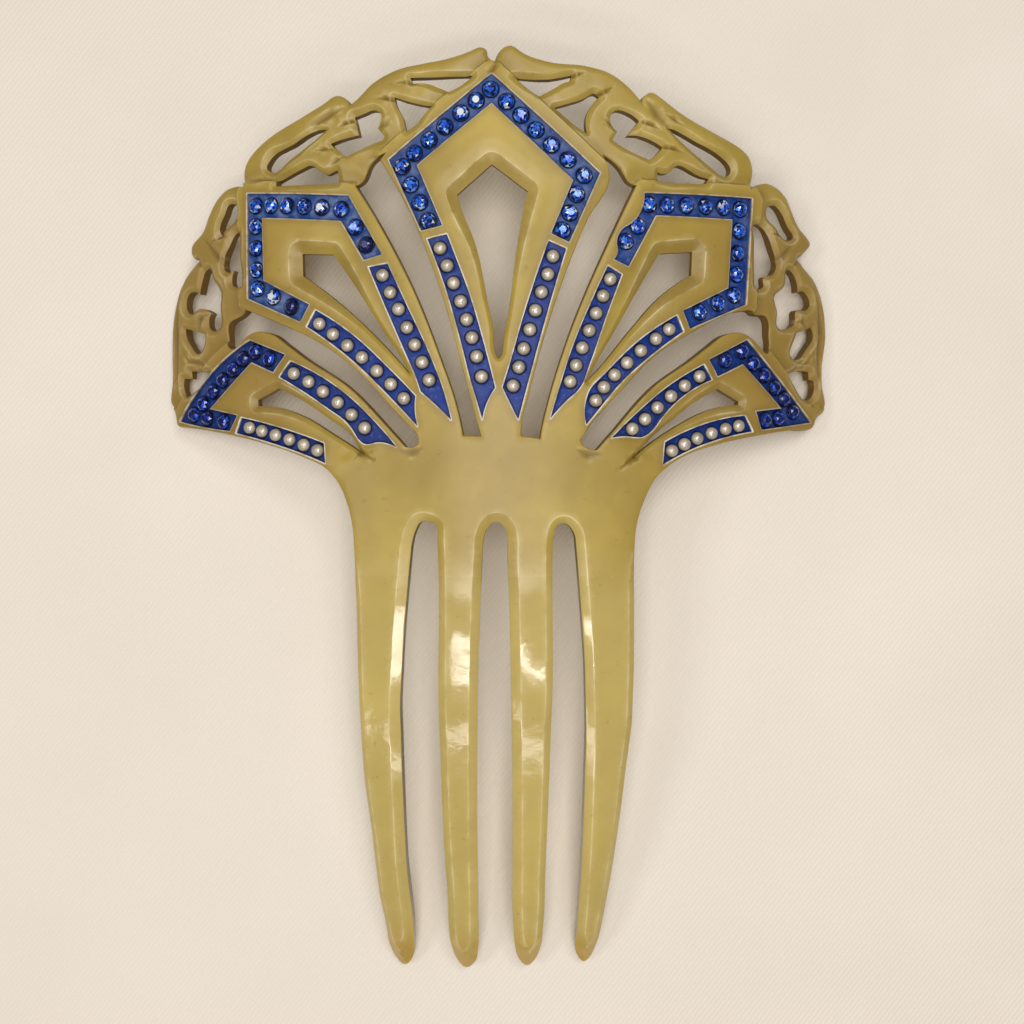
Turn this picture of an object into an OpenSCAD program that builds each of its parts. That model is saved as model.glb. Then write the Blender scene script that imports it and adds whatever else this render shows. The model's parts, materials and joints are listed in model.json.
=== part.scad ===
// Openwork mantilla comb: a bent celluloid sheet sawn into five scrolled petals, a carved
// border and four hair teeth, with blue lacquer channels set with glass stones and half pearls.
//
// The outlines are charts on the flat sheet before it was bent, in millimetres: u runs across
// the comb from its middle and v runs up from the roots of the teeth. A chart row is u, v, and
// a third value of 1 where the outline turns a sharp corner. Between corners it runs smoothly.

/* [Sheet] */
// Thickness of the celluloid sheet
sheet_t = 2.8; // [2.4:0.1:3.2]
// Radius that the middle of the sheet is bent to, across the comb
bend_r = 115; // [113:1:118]
// Radius that the teeth are bent to, from root to tip
tooth_bend_r = 217; // [215:1:225]
// Height of the middle of the sheet at its crown, above the table
crown_h = 25.8; // [25.8:0.1:27]

/* [Inlay] */
// Depth of the lacquer channels
channel_depth = 0.8; // [0.6:0.1:1.2]
// Thickness of the lacquer on a channel's floor
lacquer_t = 0.2; // [0.1:0.05:0.3]
// Diameter of a glass stone
stone_d = 3.2; // [2.6:0.1:3.2]
// Diameter of a half pearl
pearl_d = 3; // [2.4:0.1:3]
// Height of a half pearl above the lacquer
pearl_h = 1.3; // [0.9:0.1:1.4]

/* [Fineness] */
// Turn that one flat of a smooth outline takes, in degrees
flat_turn = 16; // [10:1:30]

/* [Hidden] */

horn = [0.73, 0.65, 0.41];
cobalt = [0.18, 0.29, 0.59];
glass_blue = [0.22, 0.42, 0.75];
pearl_white = [0.93, 0.9, 0.83];

face_r = bend_r + sheet_t / 2;      // the convex face
back_r = bend_r - sheet_t / 2;      // the hollow face
floor_r = face_r - channel_depth;   // the floor of the channels
enamel_r = floor_r + lacquer_t;     // the top of the lacquer
seat_gap = 0.01;                    // a flat seat clears the curved lacquer by this
spare = 5;                          // how far a cutting shape runs past what it cuts
overcut = 2.5;                      // how far the saw cuts of two stretches run past their corner
margin_turn = 2;                    // degrees that a channel's layer runs past the channel
bar_foot = 0.6 * bend_r;            // how far from the axis of the bend a cutting shape starts
gem_fn = 48;                        // sides of a stone or pearl
girdle_h = 0.4;                     // a stone's straight edge
crown_rise = 0.8;                   // a stone's sloped crown
table_d = 0.58 * stone_d;           // a stone's flat top
fan_reach = 80;                     // half the blank's width, along the sheet
teeth_reach = 34;                   // half the width of the blank's tooth end
fan_top = 100;                      // the blank's height above the roots of the teeth
tooth_sweep = 28;                   // degrees, a little more than the teeth take

$fn = 360;

// Outer edge, in stretches from the middle notch down the left side, round the teeth and up the
// right side. Each stretch runs on to the first row of the next, and all of them start where the
// edge bulges out.
crest_left = [
    [2.6, 96.25], [0.9, 95.5], [-0.4, 93.2, 1], [-1.7, 94], [-2.2, 95.5], [-3.1, 95.9], [-5, 95.3],
    [-10, 93.7], [-15, 92.9], [-20, 91.95], [-25, 89.6], [-29, 86.1], [-29.9, 85.5, 1], [-31.1, 87]
];
scroll_left = [
    [-32.3, 87.55], [-33.7, 87.4], [-35, 86.6], [-40, 84.25], [-50, 79.5], [-53.5, 76.5],
    [-54.9, 73.5], [-54.4, 70.65, 1], [-56.4, 71.45]
];
lobe_left = [
    [-59.1, 71], [-62.1, 68.9], [-64.3, 65.75], [-65.9, 62.75]
];
side_left = [
    [-69.3, 59.6], [-69.3, 58.5], [-67.3, 56.95, 1], [-67.75, 56.35], [-70.35, 54.2], [-72.6, 51.5],
    [-74.2, 48], [-75.3, 42.95], [-75.5, 37.1], [-75.5, 30.5], [-75.8, 26.4], [-74.4, 24.9],
    [-73.65, 23.5]
];
base_left = [
    [-73.3, 22.2], [-69.7, 21.25], [-60, 19.8], [-50, 17.6], [-40, 14.45], [-35, 12.1], [-32.1, 8.9],
    [-30.6, 5.7], [-29.35, 0.95], [-28.8, -6.4], [-28.5, -16.3], [-28.2, -36], [-27.4, -52.5],
    [-26.3, -64.7], [-25, -79.6], [-23.7, -89.4], [-22.55, -97.1]
];
gap_left = [
    [-20.4, -99.3], [-18.8, -97.4], [-17.95, -92], [-18.4, -82.8], [-19.05, -69.5], [-19.4, -49.7],
    [-19.6, -35.4], [-18.65, -20.2], [-17.3, -5.9], [-16.3, -0.6], [-15, 1.35], [-14, 1.5],
    [-12.7, 1.2], [-11.8, -3.3], [-11.55, -15], [-11.75, -35], [-11.45, -47], [-11.05, -65],
    [-10.2, -83], [-9.7, -93], [-8.45, -96.9]
];
gap_middle = [
    [-6.8, -98.4], [-5.4, -97.4], [-4.2, -92.6], [-4.1, -82.5], [-4.15, -60], [-3.9, -34.7],
    [-3.5, -20], [-2.85, -5], [-2, -0.1], [-0.75, 1.15], [0.5, 1.15], [1.55, 0.1], [2.1, -5],
    [2.45, -15], [2.75, -30.4], [3.05, -49], [3.1, -68], [3.3, -87.4], [3.8, -93], [5, -96.7]
];
gap_right = [
    [6.3, -97.8], [7.4, -97], [8.7, -94], [9.65, -85], [9.9, -73], [10.3, -59.6], [10.85, -40],
    [11.15, -30], [11, -10], [11.1, -3], [11.5, -0.3], [12.5, 0.95], [13.5, 1], [14.8, 0],
    [15.9, -5], [16.8, -16], [17.6, -26.2], [18.05, -40], [17.9, -51.8], [17.5, -70.7],
    [16.85, -88.3], [16.6, -93.8], [17.4, -96.7]
];
base_right = [
    [18.75, -98.2], [19.9, -97.2], [20.95, -94.2], [22.35, -86], [23.8, -75.5], [25.1, -64],
    [26.4, -51], [27.5, -41], [27.8, -27], [27.7, -8], [28.3, 1.1], [30, 6.2], [31.9, 9.7],
    [35, 12.6], [40, 15.3], [45, 16.85], [55, 19], [66.6, 20.65]
];
side_right = [
    [71.3, 21.4], [72.4, 23.1], [75.1, 24.9], [75.9, 26.65], [75.1, 29.8], [74.8, 33], [75.4, 37.6],
    [76, 42.1], [75.4, 46.6], [73.85, 50.7], [71.75, 53.45], [68.7, 55.75], [67.5, 57.3, 1],
    [69.9, 59.2]
];
lobe_right = [
    [71.05, 60.6], [69.45, 62.55], [67.7, 63.85], [65.75, 66.85], [63.85, 69.9], [61.55, 71.5]
];
scroll_right = [
    [58.65, 72.2], [56.05, 71.5], [54.2, 70.4, 1], [55, 74.2], [54.05, 77.1], [50, 79.6],
    [45, 81.45], [38.35, 84.3], [33.8, 87.1]
];
crest_right = [
    [31.4, 88.15], [29.3, 86.05, 1], [26.7, 88.8], [22.7, 91.4], [18.4, 92.5], [10, 93.2], [5, 94.9]
];
// What is sawn away outside each stretch: the stretch, the turn that it is sawn along, given as a
// place across the comb, and the far corners of the waste
waste = [
    [crest_left, -16, [[-38, 112], [9, 112]]],
    [scroll_left, -45, [[-74, 78], [-92, 112], [-27, 112]]],
    [lobe_left, -64, [[-90, 55], [-90, 95], [-62, 100]]],
    [side_left, -72, [[-83, 5], [-92, 5], [-92, 68]]],
    [base_left, -28, [[-13, -112], [-92, -112], [-92, 30]]],
    [gap_left, -14, [[-2, -112], [-27, -112]]],
    [gap_middle, 0, [[11, -112], [-12, -112]]],
    [gap_right, 13, [[25, -112], [1.5, -112]]],
    [base_right, 28, [[92, 30], [92, -112], [13, -112]]],
    [side_right, 72, [[92, 72], [92, 5], [80, 5]]],
    [lobe_right, 64, [[62, 100], [90, 95], [90, 55]]],
    [scroll_right, 45, [[27, 112], [92, 112], [72, 80]]],
    [crest_right, 16, [[-4, 112], [36, 112]]]
];

// Lacquer channels of the middle petal
centre_band = [
    [-15, 59.35, 1], [-21.6, 73.8, 1], [-1.05, 90.5, 1], [20.5, 71.1, 1], [14.3, 57.1, 1],
    [10.7, 58.75, 1], [15.1, 69.5, 1], [-1.05, 84.6, 1], [-15.9, 72.5, 1], [-10.8, 60.35, 1]
];
centre_left = [
    [-13.8, 57.7, 1], [-9.9, 58.6, 1], [-7.9, 53.4], [-5.65, 47.3], [-2.5, 36.5], [-0.35, 27.95, 1],
    [-1.95, 25.1], [-2.9, 21.6, 1], [-3.95, 25.4], [-5.2, 29.5], [-6.8, 35.9], [-10.1, 47.7]
];
centre_right = [
    [10.2, 57.3, 1], [13.7, 55.8, 1], [9.8, 42.55], [7.1, 32.65], [5.05, 24.9], [4.2, 21.6, 1],
    [2.4, 25.3], [1.1, 28.05, 1], [2.7, 33.3], [5.2, 42.2]
];
// Lacquer channels of the left petal
left_band = [
    [-23, 54.9, 1], [-30, 67.05, 1], [-53.4, 69.4, 1], [-53.2, 47.6, 1], [-40.6, 42.05, 1],
    [-38.6, 45.5, 1], [-49.3, 51, 1], [-49.65, 64, 1], [-31.6, 62.05, 1], [-26.75, 53.9, 1]
];
left_upper = [
    [-25.75, 52.45, 1], [-21.85, 53.05, 1], [-17.8, 44.3], [-13.6, 35.3], [-10.3, 26.6],
    [-9, 21.5, 1], [-11.8, 24.35], [-15.1, 27.3, 1], [-16.25, 30.5], [-18.1, 34.7], [-22.3, 44.35]
];
left_lower = [
    [-37.2, 44.3, 1], [-29.2, 39], [-21.3, 31.7], [-16.15, 26.4, 1], [-16.3, 23.6], [-15.7, 20.3, 1],
    [-21.35, 26.3], [-30, 34.5], [-39.15, 41, 1]
];
// Lacquer channels of the right petal
right_band = [
    [23.35, 53.95, 1], [24.2, 56, 1], [24.15, 58.5], [26.5, 61, 1], [29.7, 67.6, 1], [54.45, 68.5, 1],
    [52.9, 46.35, 1], [39.6, 40.6, 1], [38.1, 44.2, 1], [48.5, 49.4, 1], [49.5, 63.65, 1],
    [32.15, 63.2, 1], [26.4, 52.6, 1]
];
right_upper = [
    [22.1, 52.6, 1], [25, 50.95, 1], [21.8, 42.4], [18.5, 32.9], [16.6, 28.2], [13.3, 25],
    [10.5, 21.8, 1], [12.3, 27.9], [15.6, 37.9], [18, 43.65]
];
right_lower = [
    [36.75, 43.2, 1], [29.25, 38.3], [21.9, 31.3], [18.35, 27.4, 1], [18.1, 24.5], [17.75, 20.7, 1],
    [19.7, 23.1], [25, 29.4], [33.1, 36.4], [38.2, 40, 1]
];
// Lacquer channels of the left wing petal
left_wing_band = [
    [-52.7, 38.9, 1], [-44.1, 35.5, 1], [-47, 32, 1], [-52.25, 34.3, 1], [-63.3, 25, 1],
    [-55.9, 23.4, 1], [-57.85, 20.2, 1], [-64.9, 21.2], [-72.3, 22.7, 1], [-69.2, 26.6]
];
left_wing_upper = [
    [-42.9, 34.1, 1], [-35, 30.15], [-30, 26.6], [-24.65, 21.55], [-19.95, 16.2, 1], [-23.3, 17.25],
    [-26.7, 16.95], [-30, 20.8], [-35, 24.55], [-45.6, 31, 1]
];
left_wing_lower = [
    [-54.9, 22.9, 1], [-43.8, 20.1], [-35.4, 17.2, 1], [-35, 13.1, 1], [-40, 15.1], [-45, 16.75],
    [-56.2, 19.7, 1]
];
// Lacquer channels of the right wing petal
right_wing_band = [
    [53.2, 39.05, 1], [44, 34.5, 1], [46.1, 31.1, 1], [52.05, 33.9, 1], [62.1, 25.1, 1],
    [55.4, 24.2, 1], [56.85, 20.4, 1], [70.7, 22.4, 1]
];
right_wing_upper = [
    [42.8, 33.4, 1], [35, 28.85], [28.35, 23.4], [22.9, 18.1, 1], [25.9, 18.45], [29.3, 18.35],
    [35, 24], [44.8, 30.4, 1]
];
right_wing_lower = [
    [34.25, 17.4, 1], [33.65, 12.8, 1], [41.05, 16.45], [49.85, 19.1], [54.55, 20, 1],
    [52.75, 23.25, 1], [45.05, 21.85]
];

// Leaf-shaped piercings in the middle of each petal
centre_leaf = [
    [-1.05, 72.75, 1], [6.15, 67.4, 1], [4.4, 58.7], [2.35, 43.45], [1.25, 36.6], [0.9, 34.4],
    [0.35, 33.9], [-0.2, 34.6], [-0.65, 39], [-1.9, 45.35], [-4.5, 57.3], [-7.1, 63.75],
    [-8, 66.7, 1]
];
left_leaf = [
    [-40.9, 56.15, 1], [-33.85, 55.6, 1], [-29.85, 50.15], [-22.5, 38.95], [-19.4, 34.4],
    [-17.6, 31, 1], [-19.6, 33.1], [-26.15, 40.05], [-36.1, 48.4], [-40.75, 51.6, 1]
];
right_leaf = [
    [33.4, 55.75, 1], [40.85, 56.55, 1], [40.65, 51.75, 1], [34.1, 47.35], [26.65, 39.4],
    [20.6, 32.1], [17.8, 29.3, 1], [20.4, 34.1], [23.35, 39.05], [29.2, 49]
];
left_wing_leaf = [
    [-46.3, 28.75, 1], [-51.4, 26.5, 1], [-51.3, 25.25, 1], [-46.85, 24.85], [-40.4, 22.75],
    [-34.05, 19.2], [-27.85, 15.4, 1], [-30, 19], [-35, 22.45], [-40, 25.7]
];
right_wing_leaf = [
    [46.7, 28.65, 1], [51.8, 26.15, 1], [51.65, 25.5, 1], [45.3, 24.4], [37.4, 20.85],
    [27.9, 14.4, 1], [31.3, 18.15], [36.8, 22.6], [42.5, 26.55]
];

// Slots that part the petals
slot_centre_left = [
    [-22.3, 75.2, 1], [-25.15, 73.5], [-27.1, 69.9], [-28.6, 69, 1], [-24, 61.65], [-16.85, 48.15],
    [-10.75, 32.75], [-8.2, 25.35], [-6.65, 18.5, 1], [-3.1, 18.3, 1], [-4.7, 23.75], [-5.95, 28.55],
    [-11.4, 48.1], [-16.6, 61.6], [-23.4, 73.9, 1]
];
slot_centre_right = [
    [21.45, 74.8, 1], [22.45, 70.2, 1], [18, 61.7], [12.8, 48.7], [8.2, 33.95], [6.3, 26.6],
    [4.95, 21.2], [4.85, 18.4, 1], [8.5, 17.9, 1], [8.9, 20.2], [10.4, 26.3], [15.5, 41.7],
    [22.1, 56.8], [28, 69, 1], [26.5, 69.75], [24.65, 72.4]
];
slot_left = [
    [-52.3, 44.7, 1], [-44.85, 41.7], [-35, 36.8], [-25, 28.6], [-21.05, 24.2], [-17.8, 20.8],
    [-15.6, 17.8], [-15.9, 16.6], [-17.1, 16.2], [-18.2, 16.3, 1], [-21.35, 19.75], [-30, 28.4],
    [-40, 34.85], [-51.5, 40.5], [-53.2, 39.9], [-54.9, 38.6], [-57, 37.3], [-58.4, 38],
    [-58.6, 39.6], [-58.3, 42.6], [-55.45, 44.1], [-53.9, 45.3, 1]
];
slot_right = [
    [51.85, 44.85, 1], [40.15, 39.9], [31.75, 34.6], [25, 27.8], [21.7, 24.3], [18.75, 20.9],
    [16.6, 17.4, 1], [17.4, 16.4], [19.9, 15.7, 1], [22.95, 19.1], [31.75, 28.6], [40.15, 34.4],
    [52.2, 40.3], [55.8, 38.35], [58.6, 36.6], [59.3, 37.6], [59.05, 40.05], [58.1, 44.2],
    [55.4, 44.5], [54.5, 45.05, 1]
];

// Sawn openings of the border, left side then right side, from the crest down to the wings
border_left = [
    [
        [-17.35, 90.15, 1], [-13, 90.1], [-8.2, 90.2], [-4.75, 90.2, 1], [-6.35, 88.7], [-8, 87.65],
        [-9.5, 87.1, 1], [-11.7, 88.05], [-13.6, 88.75], [-16.9, 89.1, 1]
    ],
    [
        [-20.65, 86.5, 1], [-17.5, 85.35], [-14.4, 84.7], [-12.8, 84.35, 1], [-14, 83.2], [-15.4, 81.7],
        [-16.6, 80.4], [-18.1, 79.4, 1], [-18.5, 80.5], [-18.85, 82.1], [-19.5, 83.4], [-20.2, 84.7]
    ],
    [
        [-34.9, 80.9, 1], [-36.85, 80.9], [-42.6, 78.5], [-48.5, 75.55], [-49, 74.3], [-47.9, 73.4],
        [-43.3, 75.5], [-37.9, 78.75]
    ],
    [
        [-23.45, 83.3], [-24.3, 84], [-25.3, 84.1], [-26.8, 83.6], [-29, 82.95, 1], [-28.3, 80.3],
        [-28.05, 79.25, 1], [-30, 79], [-32.3, 78.4], [-34.1, 77.95, 1], [-32.75, 76.5], [-31.6, 75.65],
        [-30.5, 75.1, 1], [-27, 76.6], [-23.1, 78.1, 1], [-22.75, 78.85, 1], [-24.1, 80.45, 1],
        [-23.5, 81.8]
    ],
    [
        [-46.5, 70.3, 1], [-46.5, 71.2, 1], [-42.7, 72.65], [-40.2, 73.55], [-39.1, 73.9], [-38, 73.75],
        [-36.8, 72.85], [-35.9, 72.2], [-34.9, 71.9], [-33.8, 72.25], [-32.7, 72.5, 1],
        [-32.45, 69.7, 1], [-39, 69.95]
    ],
    [
        [-58.4, 67.9], [-57.1, 67.6], [-56.5, 66.1], [-57.7, 64], [-60.1, 62.2], [-60.9, 61.4, 1],
        [-61.2, 62.9], [-59.8, 65.7]
    ],
    [
        [-55.6, 61.9, 1], [-57.1, 61.6], [-58.4, 59.4], [-59.6, 57.2], [-60.1, 55.2], [-59.6, 53.9],
        [-58.7, 53.5], [-57.7, 53.9, 1], [-58.1, 52.4], [-57.9, 50.9], [-56.6, 50.2], [-55.1, 50.3, 1],
        [-55, 52], [-55.3, 55]
    ],
    [
        [-64.1, 54.8], [-62.9, 52.3], [-60.9, 49.5], [-61, 46.6], [-61.4, 42], [-62.8, 41.4],
        [-63.9, 42], [-63.6, 45.3, 1], [-66.7, 46.5], [-70, 45.7], [-70.8, 46.4], [-70.1, 49.9],
        [-66.9, 49.6, 1], [-66.1, 52.2], [-65.1, 54.4]
    ],
    [
        [-71.2, 42.6, 1], [-65.5, 41.1, 1], [-66.3, 37.45], [-67, 36.95], [-69.5, 38.65], [-71.1, 41.25]
    ],
    [
        [-69.8, 33.4, 1], [-63.9, 33, 1], [-64.9, 31.4], [-68.9, 28.5], [-70.4, 27.8], [-71.6, 28.6],
        [-71.8, 31.9, 1], [-69.8, 31.8, 1]
    ]
];
border_right = [
    [
        [3.55, 89.9, 1], [5.6, 89.7], [8.1, 89.55], [10.2, 89.6], [12.5, 90], [14.9, 90.6, 1],
        [14.6, 89.4, 1], [13.3, 89], [11.7, 88.05], [8.4, 86.3, 1], [6.3, 87.6], [5.2, 88.5]
    ],
    [
        [11.5, 84.15, 1], [14.8, 85.05], [17.6, 86.15], [18.5, 86.75], [19.5, 87.15], [20.55, 86.5, 1],
        [19.5, 85.3], [18.7, 84.4], [18.1, 83.2], [17.75, 82], [17.75, 80.7], [18.05, 79.1, 1],
        [15.5, 80.8], [14, 82]
    ],
    [
        [35.05, 81.2, 1], [36.3, 81], [38.3, 80.3], [41.7, 78.8], [44.4, 77.8], [46.5, 76.9], [48.1, 76],
        [49.2, 75], [49.65, 74], [49.3, 73], [48.4, 72.5], [47, 73], [44.3, 74.4], [41.7, 76], [37.9, 78.7]
    ],
    [
        [22.7, 82.3], [23.2, 83.5], [24.3, 84.05], [25.9, 83.8], [28.85, 82.2, 1], [27.8, 80.8],
        [26.3, 79.05, 1], [28.8, 79.15], [30.4, 78.75], [32.1, 78.15], [33.95, 77.25, 1], [33.2, 76.3],
        [31, 74.5, 1], [28.3, 75.4], [25.1, 76.8], [23.2, 78, 1], [24.2, 79.8, 1], [23, 81.3]
    ],
    [
        [32.9, 70.25, 1], [32.9, 72.25, 1], [34.8, 72.05], [35.6, 72.4], [36.6, 73.5], [37.4, 73.8],
        [38.3, 73.65], [40, 73], [41.7, 72.3], [44.55, 71.8, 1], [43.6, 70.55, 1], [40, 70.25],
        [36.5, 70.05]
    ],
    [
        [59.3, 67.4], [61.1, 67.8], [62.5, 66.8], [64.8, 63.35], [66, 61.6], [65.1, 60.9], [61.1, 63.15],
        [58.9, 65.4]
    ],
    [
        [55.6, 63.4], [56.8, 63.4], [60.4, 58.35], [61.45, 55.4], [60.2, 53.15], [58, 52.3],
        [58, 50.5], [55.8, 50.2], [55.3, 52.75], [55.3, 59.75]
    ],
    [
        [64.8, 54.7], [65.9, 54.1], [67.2, 51.8], [67.4, 50.1, 1], [69.4, 50.3], [71, 47.6], [70, 46.5],
        [66.9, 46], [66.6, 43.4], [63.8, 41.95], [62, 42], [61.4, 45.8], [60.7, 48.4], [63.3, 50.8]
    ],
    [
        [67.2, 41.45, 1], [69.7, 42.25], [71.4, 42.9, 1], [72.1, 41.5], [70.1, 38.2], [66.6, 35.6],
        [65.2, 36.5], [66.35, 39.6]
    ],
    [
        [65, 32.55, 1], [67.75, 33.35, 1], [70.75, 33.2, 1], [70.9, 31.6, 1], [72.15, 31.5, 1],
        [71.7, 27.7], [69.7, 27.05], [66.6, 29.45]
    ]
];

// Middles of the glass stones: u, v
centre_stones = [
    [-1.25, 87.4], [-4.1, 85.2], [-7.15, 82.75], [-10.35, 80.1], [-13.5, 77.5], [-16.5, 75],
    [-18.9, 72.4], [-17.2, 68.75], [-15.4, 65.1], [-13.7, 61.4], [1.9, 85], [4.75, 82.3],
    [7.75, 79.4], [10.85, 76.5], [14.15, 73.6], [17.4, 70.6], [15.9, 66.75], [14.5, 63], [13, 59.5]
];
left_stones = [
    [-51.4, 66.7], [-47.7, 66.4], [-44, 66.05], [-39.95, 65.6], [-36, 65.1], [-31.8, 64.5],
    [-28.75, 60.7], [-26.4, 57], [-51.45, 62.4], [-51.4, 57.9], [-51.3, 53.45], [-51, 49.5],
    [-47.1, 47.5], [-42.95, 45.3]
];
right_stones = [
    [30.9, 65.4], [34.8, 65.5], [39.05, 65.75], [43.4, 65.85], [47.6, 66], [51.7, 66], [51.4, 61.45],
    [51.05, 56.85], [50.75, 52.4], [50.2, 48.1], [46.3, 46.2], [42.05, 44.15], [28.45, 60.9],
    [25.95, 57.7]
];
left_wing_stones = [
    [-51.6, 36.5], [-48.2, 34.9], [-54.65, 35.1], [-57.3, 33], [-60.1, 30.9], [-62.75, 28.7],
    [-65.6, 26.2], [-68.3, 24], [-64.3, 23.05], [-59.85, 22.2]
];
right_wing_stones = [
    [48, 34.6], [52.15, 36.6], [55, 34.2], [57.8, 31.9], [60.6, 29.4], [63.2, 27.1], [65.7, 24.55],
    [61.6, 22.95], [58.1, 22.5]
];
// Middles of the half pearls: u, v
centre_left_pearls = [
    [-11.3, 55.9], [-9.9, 52.4], [-8.6, 48.9], [-7.2, 45.25], [-6, 41.6], [-4.95, 38], [-4, 34.2],
    [-3.05, 30.2]
];
centre_right_pearls = [
    [11.1, 54.3], [10.1, 50.7], [8.8, 47.1], [7.6, 43.45], [6.5, 39.6], [5.3, 35.8], [4.35, 32.1],
    [3.2, 28.4]
];
left_upper_pearls = [
    [-23, 50.8], [-21.4, 47.3], [-19.7, 43.9], [-18, 40.2], [-16.4, 36.7], [-14.9, 33.2],
    [-13.5, 29.6]
];
left_lower_pearls = [
    [-36.5, 41.5], [-33.5, 39.3], [-30.4, 36.9], [-27.3, 34.4], [-24.2, 31.6], [-21.3, 28.9], [-18.6, 26]
];
right_upper_pearls = [
    [22.7, 50], [21.25, 46.6], [19.8, 43.1], [18.4, 39.6], [17, 36.1], [15.75, 32.6], [14.55, 29.3]
];
right_lower_pearls = [
    [35.2, 40.35], [32.3, 38.3], [29.1, 35.8], [26.2, 33.3], [23.6, 30.8], [21.4, 28.3], [19.75, 25.6]
];
left_wing_upper_pearls = [
    [-42.3, 31.6], [-38.95, 29.8], [-35.7, 27.7], [-32.5, 25.4], [-29.5, 22.9], [-26.7, 20.2]
];
left_wing_lower_pearls = [
    [-53, 20.75], [-49.9, 20], [-46.6, 19.1], [-43.3, 18.1], [-40.05, 16.95], [-36.95, 15.8]
];
right_wing_upper_pearls = [
    [42, 31], [38.65, 29], [35.6, 26.8], [32.65, 24.4], [30, 22], [27.3, 20]
];
right_wing_lower_pearls = [
    [51.3, 21.1], [48.1, 20.4], [44.8, 19.4], [41.5, 18.3], [38.6, 17.05], [35.8, 15.7]
];

// Curves through the rows of a chart
function place(row) = [row[0], row[1]];
function sharp(row) = len(row) > 2;
function unit(a) = a / norm(a);
function heading(list, i) =
    let (
        n = len(list),
        back = place(list[i]) - place(list[(i + n - 1) % n]),
        ahead = place(list[(i + 1) % n]) - place(list[i])
    )
    unit(back / (back * back) + ahead / (ahead * ahead));
function mirrored(a, chord) = 2 * (a * chord) * chord - a;
function bend(a, b) = acos(max(-1, min(1, a * b)));
function between(a, b, leave, arrive, t) =
    let (length = norm(b - a))
    (2 * t^3 - 3 * t^2 + 1) * a + (t^3 - 2 * t^2 + t) * length * leave
    + (3 * t^2 - 2 * t^3) * b + (t^3 - t^2) * length * arrive;
function span(list, i) =
    let (
        j = (i + 1) % len(list),
        a = place(list[i]),
        b = place(list[j]),
        chord = unit(b - a),
        straight = sharp(list[i]) && sharp(list[j]),
        leave = straight ? chord : sharp(list[i]) ? mirrored(heading(list, j), chord) : heading(list, i),
        arrive = straight ? chord : sharp(list[j]) ? mirrored(heading(list, i), chord) : heading(list, j),
        flats = max(1, ceil((bend(leave, chord) + bend(chord, arrive)) / flat_turn))
    )
    [for (k = [0 : flats - 1]) between(a, b, leave, arrive, k / flats)];
function curve(list) = [for (i = [0 : len(list) - 1]) each span(list, i)];

// Where a chart place lies on the bent face, measured from the axis of the bend
function turn(u) = u / bend_r * 180 / PI;
function on_face(row) =
    let (
        x = face_r * sin(turn(row[0])),
        z = face_r * cos(turn(row[0])),
        droop = row[1] < 0 ? -row[1] / tooth_bend_r * 180 / PI : 0,
        arm = z + tooth_bend_r - bend_r
    )
    row[1] < 0 ? [x, -arm * sin(droop), arm * cos(droop) + bend_r - tooth_bend_r] : [x, row[1], z];
function seen_along(row, a) =
    let (p = on_face(row))
    [p[0] * cos(a) - p[2] * sin(a), p[1]];
function middle_turn(list) =
    let (across = [for (row = list) row[0]])
    turn((min(across) + max(across)) / 2);

edge = [for (stretch = waste) each stretch[0]];
starts = [
    for (i = 0, at = 0; i <= len(waste); at = at + (i < len(waste) ? len(waste[i][0]) : 0), i = i + 1) at
];
function edge_curve(k) =
    concat(
        [for (i = [starts[k] : starts[k + 1] - 1]) each span(edge, i)],
        [place(edge[starts[k + 1] % len(edge)])]
    );
function run_on(points) =
    let (last = len(points) - 1)
    concat(
        [points[0] - overcut * unit(points[1] - points[0])],
        [for (i = [1 : last - 1]) points[i]],
        [points[last] + overcut * unit(points[last] - points[last - 1])]
    );
leaves = [centre_leaf, left_leaf, right_leaf, left_wing_leaf, right_wing_leaf];
slots = [slot_centre_left, slot_centre_right, slot_left, slot_right];
piercings = concat(leaves, slots, border_left, border_right);
channels = [
    centre_band, centre_left, centre_right,
    left_band, left_upper, left_lower,
    right_band, right_upper, right_lower,
    left_wing_band, left_wing_upper, left_wing_lower,
    right_wing_band, right_wing_upper, right_wing_lower
];

// A bar of the given flat outline, straight through the sheet at the turn a
module through_sheet(points, a)
    rotate([0, a, 0])
        translate([0, 0, bar_foot])
            linear_extrude(height = bend_r + spare - bar_foot)
                polygon([for (p = points) seen_along(p, a)]);

// A slice of the bent sheet between two radii and two turns, above the roots of the teeth
module fan_shell(inner_r, outer_r, from, to)
    rotate([-90, 0, 0])
        rotate([0, 0, from - 90])
            rotate_extrude(angle = to - from)
                translate([inner_r, 0])
                    square([outer_r - inner_r, fan_top]);

// The sheet's section between two turns, swept down and back as the teeth are bent
module tooth_shell(from, to)
    translate([0, 0, bend_r - tooth_bend_r])
        rotate(a = 180, v = [1, 0, 1])
            rotate_extrude(angle = tooth_sweep)
                translate([tooth_bend_r - bend_r, 0])
                    intersection() {
                        difference() {
                            circle(r = face_r);
                            circle(r = back_r);
                        }
                        polygon([
                            [0, 0],
                            2 * bend_r * [cos(from), sin(from)],
                            2 * bend_r * [cos(to), sin(to)]
                        ]);
                    }

// A layer of the sheet inside one channel, between two radii
module channel_layer(list, inner_r, outer_r)
    intersection() {
        through_sheet(curve(list), middle_turn(list));
        fan_shell(
            inner_r, outer_r,
            turn(min([for (row = list) row[0]])) - margin_turn,
            turn(max([for (row = list) row[0]])) + margin_turn
        );
    }

// Puts its children at the table's height
module on_table()
    translate([0, 0, crown_h - bend_r])
        children();

// Puts its children on the lacquer at each place of a chart
module on_lacquer(places)
    on_table()
        for (row = places)
            translate([0, row[1], 0])
                rotate([0, turn(row[0]), 0])
                    translate([0, 0, enamel_r + seat_gap])
                        children();

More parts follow.
